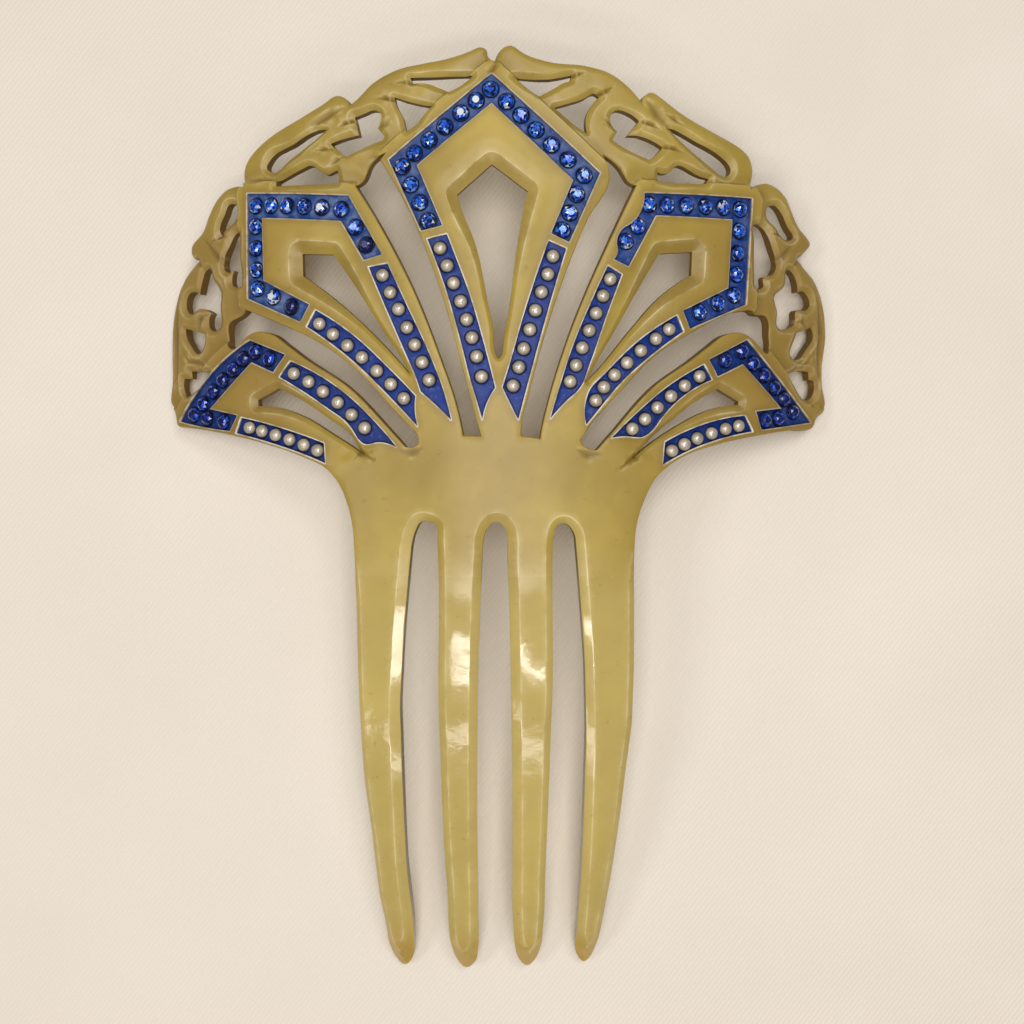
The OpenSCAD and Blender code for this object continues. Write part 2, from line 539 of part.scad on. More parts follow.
module body()
    color(horn)
        on_table()
            difference() {
                union() {
                    fan_shell(back_r, face_r, -turn(fan_reach), turn(fan_reach));
                    tooth_shell(-turn(teeth_reach), turn(teeth_reach));
                }
                for (k = [0 : len(waste) - 1])
                    through_sheet(concat(run_on(edge_curve(k)), waste[k][2]), turn(waste[k][1]));
                for (list = piercings)
                    through_sheet(curve(list), middle_turn(list));
                for (list = channels)
                    channel_layer(list, floor_r, face_r + spare);
            }

module lacquer(list)
    color(cobalt)
        on_table()
            channel_layer(list, floor_r, enamel_r);

module stones(places)
    color(glass_blue)
        on_lacquer(places) {
            cylinder(h = girdle_h, d = stone_d, $fn = gem_fn);
            translate([0, 0, girdle_h])
                cylinder(h = crown_rise, d1 = stone_d, d2 = table_d, $fn = gem_fn);
        }

module pearls(places) {
    ball_r = (pearl_d^2 / 4 + pearl_h^2) / (2 * pearl_h);
    color(pearl_white)
        on_lacquer(places)
            intersection() {
                translate([0, 0, pearl_h - ball_r])
                    sphere(r = ball_r, $fn = gem_fn);
                translate([-pearl_d, -pearl_d, 0])
                    cube([2 * pearl_d, 2 * pearl_d, 2 * pearl_h]);
            }
}

module lacquer_centre_band() { lacquer(centre_band); }
module lacquer_centre_left() { lacquer(centre_left); }
module lacquer_centre_right() { lacquer(centre_right); }
module lacquer_left_band() { lacquer(left_band); }
module lacquer_left_upper() { lacquer(left_upper); }
module lacquer_left_lower() { lacquer(left_lower); }
module lacquer_right_band() { lacquer(right_band); }
module lacquer_right_upper() { lacquer(right_upper); }
module lacquer_right_lower() { lacquer(right_lower); }
module lacquer_left_wing_band() { lacquer(left_wing_band); }
module lacquer_left_wing_upper() { lacquer(left_wing_upper); }
module lacquer_left_wing_lower() { lacquer(left_wing_lower); }
module lacquer_right_wing_band() { lacquer(right_wing_band); }
module lacquer_right_wing_upper() { lacquer(right_wing_upper); }
module lacquer_right_wing_lower() { lacquer(right_wing_lower); }
module stones_centre() { stones(centre_stones); }
module stones_left() { stones(left_stones); }
module stones_right() { stones(right_stones); }
module stones_left_wing() { stones(left_wing_stones); }
module stones_right_wing() { stones(right_wing_stones); }
module pearls_centre_left() { pearls(centre_left_pearls); }
module pearls_centre_right() { pearls(centre_right_pearls); }
module pearls_left_upper() { pearls(left_upper_pearls); }
module pearls_left_lower() { pearls(left_lower_pearls); }
module pearls_right_upper() { pearls(right_upper_pearls); }
module pearls_right_lower() { pearls(right_lower_pearls); }
module pearls_left_wing_upper() { pearls(left_wing_upper_pearls); }
module pearls_left_wing_lower() { pearls(left_wing_lower_pearls); }
module pearls_right_wing_upper() { pearls(right_wing_upper_pearls); }
module pearls_right_wing_lower() { pearls(right_wing_lower_pearls); }

body();
lacquer_centre_band();
lacquer_centre_left();
lacquer_centre_right();
lacquer_left_band();
lacquer_left_upper();
lacquer_left_lower();
lacquer_right_band();
lacquer_right_upper();
lacquer_right_lower();
lacquer_left_wing_band();
lacquer_left_wing_upper();
lacquer_left_wing_lower();
lacquer_right_wing_band();
lacquer_right_wing_upper();
lacquer_right_wing_lower();
stones_centre();
stones_left();
stones_right();
stones_left_wing();
stones_right_wing();
pearls_centre_left();
pearls_centre_right();
pearls_left_upper();
pearls_left_lower();
pearls_right_upper();
pearls_right_lower();
pearls_left_wing_upper();
pearls_left_wing_lower();
pearls_right_wing_upper();
pearls_right_wing_lower();
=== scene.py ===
import json
import math
import random

import bmesh
import bpy
import numpy as np
from mathutils import Matrix, Vector, noise
from mathutils.bvhtree import BVHTree
from mathutils.geometry import delaunay_2d_cdt
from mathutils.kdtree import KDTree

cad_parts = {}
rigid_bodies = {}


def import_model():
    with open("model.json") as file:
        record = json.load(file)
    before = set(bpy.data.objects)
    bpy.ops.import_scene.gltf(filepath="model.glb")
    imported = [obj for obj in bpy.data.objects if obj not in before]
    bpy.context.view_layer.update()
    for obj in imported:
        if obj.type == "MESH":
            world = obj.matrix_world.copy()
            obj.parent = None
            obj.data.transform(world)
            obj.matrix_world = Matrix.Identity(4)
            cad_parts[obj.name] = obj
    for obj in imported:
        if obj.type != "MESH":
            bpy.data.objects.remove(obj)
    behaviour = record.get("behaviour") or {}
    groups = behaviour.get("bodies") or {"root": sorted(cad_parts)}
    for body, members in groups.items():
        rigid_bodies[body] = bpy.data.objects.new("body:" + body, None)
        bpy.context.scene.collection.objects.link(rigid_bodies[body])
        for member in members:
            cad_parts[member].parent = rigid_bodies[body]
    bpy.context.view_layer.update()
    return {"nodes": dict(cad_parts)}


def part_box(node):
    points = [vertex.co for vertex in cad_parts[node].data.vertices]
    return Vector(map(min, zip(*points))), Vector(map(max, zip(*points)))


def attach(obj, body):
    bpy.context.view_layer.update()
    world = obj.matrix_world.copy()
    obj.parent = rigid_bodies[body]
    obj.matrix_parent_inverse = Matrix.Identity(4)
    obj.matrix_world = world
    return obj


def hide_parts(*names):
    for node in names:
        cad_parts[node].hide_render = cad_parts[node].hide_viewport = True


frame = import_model()
bpy.ops.object.select_all(action="DESELECT")
mm = 0.001


# ---- camera first: straight down over the comb, top of the photograph is +Y
def addCamera():
    camera = {"place": (3.0, 3.25, 300.4), "focalPx": 1375, "imagePx": 1024, "sensorWidth": 36}
    data = bpy.data.cameras.new("camera")
    data.sensor_width = camera["sensorWidth"]
    data.lens = camera["sensorWidth"] * camera["focalPx"] / camera["imagePx"]
    data.clip_start = 0.01
    seen = bpy.data.objects.new("camera", data)
    seen.location = [part * mm for part in camera["place"]]
    bpy.context.collection.objects.link(seen)
    bpy.context.scene.camera = seen


addCamera()
print("camera set")

# The sheet: u runs across, v runs up from the tooth roots, h is the height above its middle (mm)
sheet = {"bendR": 115.0, "toothBendR": 217.0, "halfThick": 1.4}
bendR = sheet["bendR"]
halfThick = sheet["halfThick"]
toothAxis = bendR - sheet["toothBendR"]
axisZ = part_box("body")[1].z / mm - bendR - halfThick


def toChart(places):
    x, y, z = (np.asarray(places, float).reshape(-1, 3) / mm).T
    z = z - axisZ
    arm = np.hypot(y, z - toothAxis)
    droop = np.where(y < 0, np.arctan2(-y, z - toothAxis), 0.0)
    flatZ = np.where(y < 0, arm + toothAxis, z)
    v = np.where(y < 0, -sheet["toothBendR"] * droop, y)
    return bendR * np.arctan2(x, flatZ), v, np.hypot(x, flatZ) - bendR


def toSheet(u, v, h):
    turn = u / bendR
    x = (bendR + h) * np.sin(turn)
    z = (bendR + h) * np.cos(turn)
    droop = np.where(v < 0, -v / sheet["toothBendR"], 0.0)
    arm = z - toothAxis
    y = np.where(v < 0, -arm * np.sin(droop), v)
    z = np.where(v < 0, arm * np.cos(droop) + toothAxis, z)
    return np.stack([x, y, z + axisZ], 1) * mm


# ---- outlines, taken off the frame's own body
def signedArea(points):
    ahead = np.roll(points, -1, 0)
    return 0.5 * float(np.sum(points[:, 0] * ahead[:, 1] - points[:, 1] * ahead[:, 0]))


def faceLoops():
    mesh = bmesh.new()
    mesh.from_mesh(frame["nodes"]["body"].data)
    bmesh.ops.remove_doubles(mesh, verts=mesh.verts, dist=1e-6)
    u, v, h = toChart([vert.co for vert in mesh.verts])
    directed = set()
    for face in mesh.faces:
        corner = [vert.index for vert in face.verts]
        if min(h[corner]) < halfThick - 0.03:
            continue
        flat = signedArea(np.stack([u[corner], v[corner]], 1))
        if flat < 0.5 * face.calc_area() / mm ** 2:
            continue  # a wall's sliver along the top edge
        directed.update(zip(corner, corner[1:] + corner[:1]))
    mesh.free()
    following = {a: b for a, b in directed if (b, a) not in directed}
    loops = []
    while following:
        start, at = following.popitem()
        ring = [start]
        while at != start:
            ring.append(at)
            at = following.pop(at)
        loops.append(np.stack([u[ring], v[ring]], 1))
    return loops


def unit(a):
    return a / np.maximum(np.linalg.norm(a, axis=-1, keepdims=True), 1e-12)


def straightened(points, slack=0.012):
    # drops the places that lie on a straight cut, by splitting at the furthest place
    turn = np.sum(unit(points - np.roll(points, 1, 0)) * unit(np.roll(points, -1, 0) - points), 1)
    points = np.roll(points, -int(np.argmin(turn)), 0)
    closed = np.vstack([points, points[:1]])
    keep = {0, len(points)}
    far = int(np.argmax(np.linalg.norm(points - points[0], axis=1)))
    keep.add(far)
    todo = [(0, far), (far, len(points))]
    while todo:
        a, b = todo.pop()
        if b - a < 2:
            continue
        line = unit(closed[b] - closed[a])
        off = closed[a + 1:b] - closed[a]
        side = np.abs(off[:, 0] * line[1] - off[:, 1] * line[0])
        worst = int(np.argmax(side))
        if side[worst] > slack:
            middle = a + 1 + worst
            keep.add(middle)
            todo += [(a, middle), (middle, b)]
    return closed[sorted(keep)[:-1]]


def angleTo(a, b):
    return math.degrees(math.acos(max(-1.0, min(1.0, float(a @ b)))))


def isCorner(before, here, after):
    # a real corner stands alone, the joints of a smooth bend come one after another
    return here > 42 or (here > 24 and max(before, after) < 0.35 * here)


def smoothLoop(points, step, flatTurn=9):
    points = straightened(points)
    count = len(points)
    back = points - np.roll(points, 1, 0)
    ahead = np.roll(points, -1, 0) - points
    heading = unit(back / np.sum(back ** 2, 1)[:, None] + ahead / np.sum(ahead ** 2, 1)[:, None])
    turns = [angleTo(unit(back[i]), unit(ahead[i])) for i in range(count)]
    corner = [isCorner(turns[i - 1], turns[i], turns[(i + 1) % count]) for i in range(count)]
    placed = []
    for i in range(count):
        j = (i + 1) % count
        a, b = points[i], points[j]
        length = float(np.linalg.norm(b - a))
        chord = (b - a) / length
        leave, arrive = heading[i], heading[j]
        if corner[i]:
            leave = chord if corner[j] else 2 * (heading[j] @ chord) * chord - heading[j]
        if corner[j]:
            arrive = chord if corner[i] else 2 * (heading[i] @ chord) * chord - heading[i]
        bends = angleTo(leave, chord) + angleTo(chord, arrive)
        reach = step if max(a[1], b[1]) > -4 else 1.3 * step
        pieces = max(1, math.ceil(length / reach), math.ceil(bends / flatTurn))
        for k in range(pieces):
            t = k / pieces
            placed.append(
                (2 * t ** 3 - 3 * t * t + 1) * a + (t ** 3 - 2 * t * t + t) * length * leave
                + (3 * t * t - 2 * t ** 3) * b + (t ** 3 - t * t) * length * arrive
            )
    return np.array(placed)


comb = {
    "outlineStep": 0.75,     # mm between places along an outline
    "gridStep": 0.95,        # mm between places inside
    "edgeRound": 0.36,       # rounding of the sawn edges
    "channelRound": 0.16,    # rounding of the channels' edges
    "gleamWidth": 0.3,       # width of the pale line painted along the channels' edges, a painted highlight
    "channelFloor": 0.6,     # height of the channels' floor over the middle of the sheet
}

rawLoops = sorted(faceLoops(), key=lambda ring: -abs(signedArea(ring)))
outline = smoothLoop(rawLoops[0], comb["outlineStep"])
inner = [smoothLoop(ring, comb["outlineStep"]) for ring in rawLoops[1:]]
lacquerNames = [name for name in frame["nodes"] if name.startswith("lacquer")]
channels = {}
for name in sorted(lacquerNames):
    u, v, h = toChart([vert.co for vert in frame["nodes"][name].data.vertices])
    middle = np.array([(u.min() + u.max()) / 2, (v.min() + v.max()) / 2])
    size = np.array([u.max() - u.min(), v.max() - v.min()])
    misfit = [
        np.abs((ring.max(0) + ring.min(0)) / 2 - middle).sum() + np.abs(np.ptp(ring, 0) - size).sum()
        for ring in inner
    ]
    channels[name] = inner.pop(int(np.argmin(misfit)))
leafMiddles = [(-0.5, 55), (-29, 44), (29, 43), (-40, 22), (41, 22)]
slotMiddles = [(-14, 48), (15, 46), (-37, 33), (37, 33)]


def takeNearest(places):
    taken = []
    for place in places:
        gap = [np.linalg.norm((ring.max(0) + ring.min(0)) / 2 - place) for ring in inner]
        taken.append(inner.pop(int(np.argmin(gap))))
    return taken


leaves = takeNearest(leafMiddles)
slots = takeNearest(slotMiddles)
openings = inner  # what is left is the border's sawn openings
print("outlines read:", len(outline), "places round the edge,", len(channels), "channels,",
      len(leaves), "leaves,", len(slots), "slots,", len(openings), "border openings")


# ---- distances on the sheet
def ribbonTree(paths, closed=True):
    places, walls = [], []
    for path in paths:
        first = len(places)
        count = len(path)
        for p in path:
            places += [(p[0], p[1], -1.0), (p[0], p[1], 1.0)]
        for i in range(count if closed else count - 1):
            a, b = first + 2 * i, first + 2 * ((i + 1) % count)
            walls.append((a, b, b + 1, a + 1))
    return BVHTree.FromPolygons(places, walls)


def nearest(tree, points):
    found = [tree.find_nearest((p[0], p[1], 0.0)) for p in points]
    return (
        np.array([hit[3] for hit in found]),
        np.array([(hit[0].x, hit[0].y) for hit in found]),
    )


def openRuns(ring, wanted):
    # the stretches of a closed outline whose places are wanted, as open paths
    flags = [bool(wanted(p)) for p in ring]
    if all(flags):
        return [np.vstack([ring, ring[:1]])]
    start = flags.index(False)
    runs, run = [], []
    for k in range(1, len(ring) + 1):
        i = (start + k) % len(ring)
        if flags[i]:
            run.append(ring[i])
        elif run:
            runs.append(np.array(run))
            run = []
    return [r for r in runs if len(r) > 1]


toothPaths = openRuns(outline, lambda p: p[1] < 4.0 and abs(p[0]) < 31)
basePaths = openRuns(outline, lambda p: 3.0 < p[1] < 23.2 and abs(p[0]) > 27)
rimPaths = openRuns(outline, lambda p: p[1] > 22.4)
trees = {
    "teeth": ribbonTree(toothPaths, False),
    "plain": ribbonTree(basePaths + [np.vstack([ring, ring[:1]]) for ring in slots], False),
    "rim": ribbonTree(rimPaths, False),
    "border": ribbonTree(openings),
    "bands": ribbonTree([ring for name, ring in channels.items() if name.endswith("band")]),
    "leaf": ribbonTree(leaves),
    "channel": ribbonTree(list(channels.values())),
    "through": ribbonTree([outline] + leaves + slots + openings),
}


def ramp(x, low, high):
    t = np.clip((x - low) / (high - low), 0, 1)
    return t * t * (3 - 2 * t)


def rounded(d, width, depth):
    t = np.clip(1 - d / width, 0, 1)
    return depth * (1 - np.sqrt(1 - 0.97 * t * t))


def bevelled(d, width, depth):
    return depth * np.clip(1 - d / width, 0, 1)


# Middle of each tooth gap, and the width of the bevel on its left and right side
toothBevels = {"gaps": (-14.6, -0.9, 14.0), "left": (2.1, 1.75, 1.4), "right": (1.45, 2.0, 1.7)}


def toothBevelWidth(near):
    width = np.where(near[:, 0] < -22.5, 1.05, 1.3)
    for middle, left, right in zip(toothBevels["gaps"], toothBevels["left"], toothBevels["right"]):
        across = near[:, 0] - middle
        inGap = np.abs(across) < 6.3
        mixed = left + (right - left) * ramp(across, -2.4, 2.4)
        width = np.where(inGap, mixed, width)
    outside = np.abs(near[:, 0]) > 25.8
    width = np.where(outside, width * ramp(-near[:, 1], -1.0, 14.0) + 0.02, width)
    return width


def leafBevelWidth(near):
    # wide round the head of the leaf, narrow towards its point
    width = np.full(len(near), 1.0)
    for ring, wide in zip(leaves, (2.3, 2.6, 2.5, 1.5, 1.5)):
        low = ring[np.argmin(ring[:, 1])]
        far = ring[np.argmax(np.linalg.norm(ring - low, axis=1))]
        along = (near - low) @ (far - low) / np.sum((far - low) ** 2)
        box0, box1 = ring.min(0) - 0.05, ring.max(0) + 0.05
        mine = np.all((near > box0) & (near < box1), 1)
        width = np.where(mine, 0.75 + (wide - 0.75) * ramp(along, 0.25, 1.0), width)
    return width


# Carved hollows: places along the line, half width at its start, middle and end, depth (mm)
carving = [
    ([(-27.85, 15.4), (-25.8, 14.3), (-23.75, 13.3)], (1.0, 0.6, 0.05), 0.9),
    ([(27.9, 14.4), (25.9, 12.9), (23.9, 11.45)], (1.0, 0.6, 0.05), 0.9),
    ([(-15.2, 15.7), (-16.8, 15.2), (-18.6, 15.3)], (0.7, 1.2, 0.7), 0.3),
    ([(16.4, 15.4), (18.1, 14.6), (20.2, 14.8)], (0.7, 1.2, 0.7), 0.3),
    ([(-14.2, 88.3), (-16.9, 89.1), (-18.6, 89.3), (-20.9, 89.1)], (0.2, 0.75, 0.05), 0.65),
    ([(-20.7, 85.9), (-22.5, 86.3), (-24.5, 86.3)], (0.7, 0.65, 0.05), 0.65),
    ([(-29.3, 82.2), (-31, 81.7), (-32.5, 81)], (0.6, 0.6, 0.05), 0.6),
    ([(14.9, 90.3), (16.4, 90.8), (17.8, 91.3)], (0.65, 0.6, 0.05), 0.6),
    ([(20.3, 86.9), (21.9, 87.6), (23.3, 88.7)], (0.65, 0.65, 0.05), 0.65),
    ([(29.6, 82), (31.6, 81.5), (33.5, 80.5)], (0.6, 0.65, 0.05), 0.6),
    ([(34.4, 77.3), (36.6, 77), (38.5, 76.4)], (0.6, 0.6, 0.05), 0.6),
    ([(-38, 81.7), (-34.3, 83.6), (-30.4, 85.2)], (0.9, 1.2, 0.1), 0.5),
    ([(-37.5, 76.7), (-35.6, 76.9), (-33.7, 76.8)], (0.1, 0.7, 0.5), 0.4),
    ([(-34, 73.5), (-32.6, 74.5), (-31.3, 75.2)], (0.4, 0.7, 0.3), 0.4),
    ([(-54, 71.8), (-50.5, 71.9), (-47, 71.8)], (0.5, 0.8, 0.4), 0.35),
    ([(30.3, 86.3), (32.5, 83.5), (35, 81.4)], (0.6, 1.6, 0.8), 0.5),
    ([(34, 84), (36.4, 83), (38.5, 81.7)], (0.1, 0.7, 0.1), 0.35),
    ([(-23.9, 80.2), (-22.4, 81.2), (-21, 82.2)], (0.9, 1.1, 0.3), 0.4),
    ([(23.9, 80.2), (22.4, 81.2), (21.3, 82.2)], (0.9, 1.1, 0.3), 0.4),
    ([(-1.2, 90.6), (-0.1, 92.2), (-0.4, 94.6)], (0.9, 0.7, 0.1), 0.5),
    ([(-58.5, 60.9), (-60.9, 61.4), (-62.8, 60.4)], (0.1, 1.0, 0.5), 0.55),
    ([(59.5, 61.6), (61.8, 61.9), (63.6, 61)], (0.1, 1.0, 0.5), 0.55),
    ([(-57.7, 53.9), (-61.2, 56.8), (-64.5, 60.5)], (0.5, 1.1, 0.7), 0.4),
    ([(58, 52.6), (62, 56.6), (65.6, 60.4)], (0.5, 1.1, 0.7), 0.4),
    ([(-67.3, 56.9), (-66.2, 55.6), (-65.2, 54.6)], (1.1, 0.8, 0.2), 0.55),
    ([(67.5, 57.2), (66.4, 56), (65.6, 54.7)], (1.1, 0.8, 0.2), 0.55),
    ([(-71.4, 53.2), (-73.1, 49), (-73.7, 43), (-73.6, 36), (-73.5, 29)], (0.2, 1.2, 0.6), 0.45),
    ([(71, 53), (73.2, 48), (73.8, 42.5), (73.1, 36), (73.3, 30)], (0.2, 1.2, 0.6), 0.45),
    ([(-63.8, 45.4), (-66.5, 44.2), (-66.9, 41.5)], (0.2, 1.2, 0.3), 0.45),
    ([(66.7, 43.6), (68.3, 44), (69.7, 42.6)], (0.2, 1.1, 0.3), 0.45),
    ([(-63.9, 33.1), (-66.8, 35), (-69.8, 35.4), (-71.2, 37.5)], (0.4, 1.2, 0.2), 0.4),
    ([(65, 32.6), (67.2, 34.4), (69.8, 35.3), (71.4, 37.5)], (0.4, 1.2, 0.2), 0.4),
]


def alongLine(line, points):
    # distance to a carved line, and the share of the line at which it is nearest
    line = np.array(line, float)
    best, share = np.full(len(points), 1e9), np.zeros(len(points))
    lengths = np.linalg.norm(np.diff(line, axis=0), axis=1)
    run = 0.0
    for a, b, length in zip(line, line[1:], lengths):
        t = np.clip((points - a) @ (b - a) / length ** 2, 0, 1)
        d = np.linalg.norm(points - a - t[:, None] * (b - a), axis=1)
        share = np.where(d < best, (run + t * length) / lengths.sum(), share)
        best = np.minimum(best, d)
        run += length
    return best, share


def convexHull(points):
    points = sorted(set(map(tuple, np.round(points, 3))))

    def chain(order):
        hull = []
        for p in order:
            while len(hull) > 1 and (
                (hull[-1][0] - hull[-2][0]) * (p[1] - hull[-2][1])
                - (hull[-1][1] - hull[-2][1]) * (p[0] - hull[-2][0])
            ) <= 0:
                hull.pop()
            hull.append(p)
        return hull[:-1]

    return np.array(chain(points) + chain(points[::-1]))


def petalHull(petal):
    names = ["lacquer_%s_%s" % (petal, part) for part in ("band", "left", "right", "upper", "lower")]
    return convexHull(np.vstack([channels[name] for name in names if name in channels]))


petals = [petalHull(petal) for petal in ("centre", "left", "right", "left_wing", "right_wing")]


def outsideDistance(hull, points):
    # distance outside a convex outline, negative inside
    best = np.full(len(points), -1e9)
    ends = np.roll(hull, -1, 0)
    segment = np.full(len(points), 1e9)
    for a, b in zip(hull, ends):
        line = (b - a) / np.linalg.norm(b - a)
        off = points - a
        best = np.maximum(best, off[:, 0] * line[1] - off[:, 1] * line[0])
        t = np.clip(off @ line, 0, np.linalg.norm(b - a))
        segment = np.minimum(segment, np.linalg.norm(off - t[:, None] * line, axis=1))
    return np.where(best > 0, segment, -segment)


def ridgeLine(d, width):
    return np.clip(1 - np.abs(d - width) / 0.27, 0, 1)


def waviness(points):
    # the hand-scraped face is never quite flat, least of all along the polished teeth
    broad = np.array([noise.noise((p[0] * 0.12, p[1] * 0.06, 1.7)) for p in points])
    fine = np.array([noise.noise((p[0] * 0.5, p[1] * 0.4, 5.1)) for p in points])
    return (0.07 + 0.3 * ramp(-points[:, 1], 2, 26)) * broad + 0.025 * fine


def handWidth(near):
    # the width of a hand-cut chamfer, which changes along it
    return np.array([1.05 + 0.45 * noise.noise((p[0] * 0.22, p[1] * 0.22, 9.0)) for p in near])


def relief(points):
    # how far the carved face lies under the plain sheet, how strong the dirt and painted shade in its hollows are, and
    # how strong the painted highlights along its channel edges and ridges are
    u, v = points.T
    dTooth, nearTooth = nearest(trees["teeth"], points)
    dPlain = nearest(trees["plain"], points)[0]
    dRim = nearest(trees["rim"], points)[0]
    dBorder, nearBorder = nearest(trees["border"], points)
    dLeaf, nearLeaf = nearest(trees["leaf"], points)
    dChannel = nearest(trees["channel"], points)[0]
    dBand = nearest(trees["bands"], points)[0]
    tipFlare = 1 + 1.6 * ramp(-v, 89, 97)
    toothW = toothBevelWidth(nearTooth) * tipFlare
    # painted highlight: a pale line along the ridges of the bevels and the border's step, where the edges catch the
    # light
    ridge = ridgeLine(dTooth, toothW) * ramp(toothW, 0.3, 0.8)
    cut = np.maximum(bevelled(dTooth, toothW, 0.6 * np.minimum(1, toothW) * tipFlare),
                     rounded(dTooth, 0.22, 0.75))
    cut = np.maximum(cut, rounded(dPlain, comb["edgeRound"], 0.34))
    cut = np.maximum(cut, rounded(dRim, 1.3, 0.34 + 0.5 * ramp(dChannel, 1.6, 3.2)))
    chamfer = handWidth(nearBorder)
    cut = np.maximum(cut, np.maximum(bevelled(dBorder, chamfer, 0.62 * chamfer), rounded(dBorder, 0.2, 0.62)))
    ridge = np.maximum(ridge, 0.6 * ridgeLine(dBorder, chamfer))
    leafW = leafBevelWidth(nearLeaf)
    cut = np.maximum(cut, np.maximum(bevelled(dLeaf, leafW, 0.35 + 0.3 * leafW), rounded(dLeaf, 0.25, 0.8)))
    ridge = np.maximum(ridge, ridgeLine(dLeaf, leafW) * ramp(leafW, 0.6, 1.4))
    # dirt and painted shade: darker along the leaves' bevels, beside the channels and round the border's openings
    edgeDirtAndShade = 0.35 * (dLeaf < leafW) * ramp(leafW, 0.8, 1.8)
    edgeDirtAndShade = np.maximum(edgeDirtAndShade, 0.5 * np.clip(1 - dChannel / 1.5, 0, 1))
    edgeDirtAndShade = np.maximum(edgeDirtAndShade, 0.3 * np.clip(1 - dBorder / 0.9, 0, 1))
    outside = np.min([outsideDistance(hull, points) for hull in petals], axis=0)
    inside = outside < 0
    cut = cut + np.where(inside, 0.5 * ramp(-dLeaf, -5.5, -0.5), 0.0)
    onBorder = ((v > 62) | ((np.abs(u) > 54) & (v > 25.6))) & ~inside
    step = ramp(outside, 2.5, 2.95)
    valley = onBorder * step * (0.22 + 0.5 * (1 - ramp(outside, 3.2, 6.4)))
    ridge = np.maximum(ridge, 0.5 * onBorder * ridgeLine(outside, 2.5))
    cut = cut + valley
    # painted shade in the border's valley joins the dirt and shade along the edges
    hollow = np.maximum(0.6 * valley, edgeDirtAndShade)
    for line, widths, depth in carving:
        d, share = alongLine(line, points)
        width = np.interp(share, np.linspace(0, 1, len(widths)), widths)
        groove = np.clip(1 - d / width, 0, 1) * width / max(widths)
        cut = cut + depth * groove
        # the carved grooves are coloured darker too: dirt and painted shade
        hollow = np.maximum(hollow, groove)
        ridge = np.maximum(ridge, 0.5 * np.clip(1 - np.abs(d - width) / 0.25, 0, 1) * (share < 0.98))
    cut = np.maximum(cut, rounded(dChannel, comb["channelRound"], 0.14))
    cut = cut + waviness(points) * ramp(dChannel, 0.3, 1.5)
    # painted highlight: a pale line along the channels' edges, weaker along the bands
    edge = np.clip(1 - dChannel / comb["gleamWidth"], 0, 1) * np.where(dBand < dChannel + 0.01, 0.55, 1.0)
    return np.minimum(cut, 1.9), hollow, edge, ridge * ramp(dChannel, 0.3, 0.8)


# ---- places for the face's mesh
def leftNormals(ring, closed=True):
    ahead = np.roll(ring, -1, 0) - ring
    back = ring - np.roll(ring, 1, 0)
    if not closed:
        ahead[-1] = back[-1]
        back[0] = ahead[0]
    ahead, back = unit(ahead), unit(back)
    turn = lambda a: np.stack([-a[:, 1], a[:, 0]], 1)
    return turn(back), turn(ahead)


def offsetPlaces(ring, distance):
    # places at a distance on the left of a path; distance may change from place to place
    before, after = leftNormals(ring)
    distance = np.broadcast_to(distance, (len(ring),))
    middle = before + after
    size = np.sum(middle ** 2, 1)
    mitre = 2 * middle / np.maximum(size, 0.35)[:, None]
    turnLeft = before[:, 0] * after[:, 1] - before[:, 1] * after[:, 0]
    out = list(ring + mitre * distance[:, None])
    for i in np.where(turnLeft < -0.35)[0]:
        out[i] = ring[i] + unit(middle[i]) * distance[i]
        for share in (0.0, 0.33, 0.67, 1.0):
            way = unit(before[i] * (1 - share) + after[i] * share)
            out.append(ring[i] + way * distance[i])
    return np.array(out)


def thinned(points, spacing, taken=None):
    # keeps places that are a spacing apart, and as far from those already taken
    cells = {}
    kept = []
    if taken is not None:
        tree = KDTree(len(taken))
        for i, p in enumerate(taken):
            tree.insert((p[0], p[1], 0), i)
        tree.balance()
        points = [p for p in points if tree.find((p[0], p[1], 0))[2] > spacing]
    for p in points:
        key = (int(math.floor(p[0] / spacing)), int(math.floor(p[1] / spacing)))
        close = False
        for i in (-1, 0, 1):
            for j in (-1, 0, 1):
                for q in cells.get((key[0] + i, key[1] + j), ()):
                    if (p[0] - q[0]) ** 2 + (p[1] - q[1]) ** 2 < spacing * spacing:
                        close = True
        if not close:
            cells.setdefault(key, []).append(p)
            kept.append(p)
    return np.array(kept).reshape(-1, 2)


def hexGrid(low, high, step):
    rows = np.arange(low[1], high[1], step * 0.866)
    grid = []
    for k, y in enumerate(rows):
        x = np.arange(low[0] + (k % 2) * step / 2, high[0], step)
        grid.append(np.stack([x, np.full(len(x), y)], 1))
    return np.vstack(grid)


def insideTriangles(loops, extra):
    # triangles between closed outlines, material on their left, with further places inside
    places = np.vstack(list(loops) + ([extra] if len(extra) else []))
    walls = []
    first = 0
    for ring in loops:
        walls += [(first + i, first + (i + 1) % len(ring)) for i in range(len(ring))]
        first += len(ring)
    spots, _, faces, given, _, _ = delaunay_2d_cdt([Vector(p) for p in places], walls, [], 0, 1e-7, True)
    same = [own[0] for own in given]
    sides = {}
    tris = [tuple(same[i] for i in face) for face in faces]
    for k, (a, b, c) in enumerate(tris):
        sides[(a, b)] = sides[(b, c)] = sides[(c, a)] = k
    wall = set(walls) | {(b, a) for a, b in walls}
    kept = set()
    todo = [sides[w] for w in walls if w in sides]
    while todo:
        k = todo.pop()
        if k in kept:
            continue
        kept.add(k)
        a, b, c = tris[k]
        for edge in ((b, a), (c, b), (a, c)):
            if edge not in wall and edge in sides and sides[edge] not in kept:
                todo.append(sides[edge])
    return places, [tris[k] for k in sorted(kept)]


def stepRows(hull):
    # rows along the step between a petal's frame and the carved border
    ends = np.roll(hull, -1, 0)
    dense = []
    for a, b in zip(hull, ends):
        count = max(1, int(np.linalg.norm(b - a) / 0.6))
        dense += [a + (b - a) * k / count for k in range(count)]
    return [offsetPlaces(np.array(dense), -d) for d in (2.3, 2.5, 2.95)]


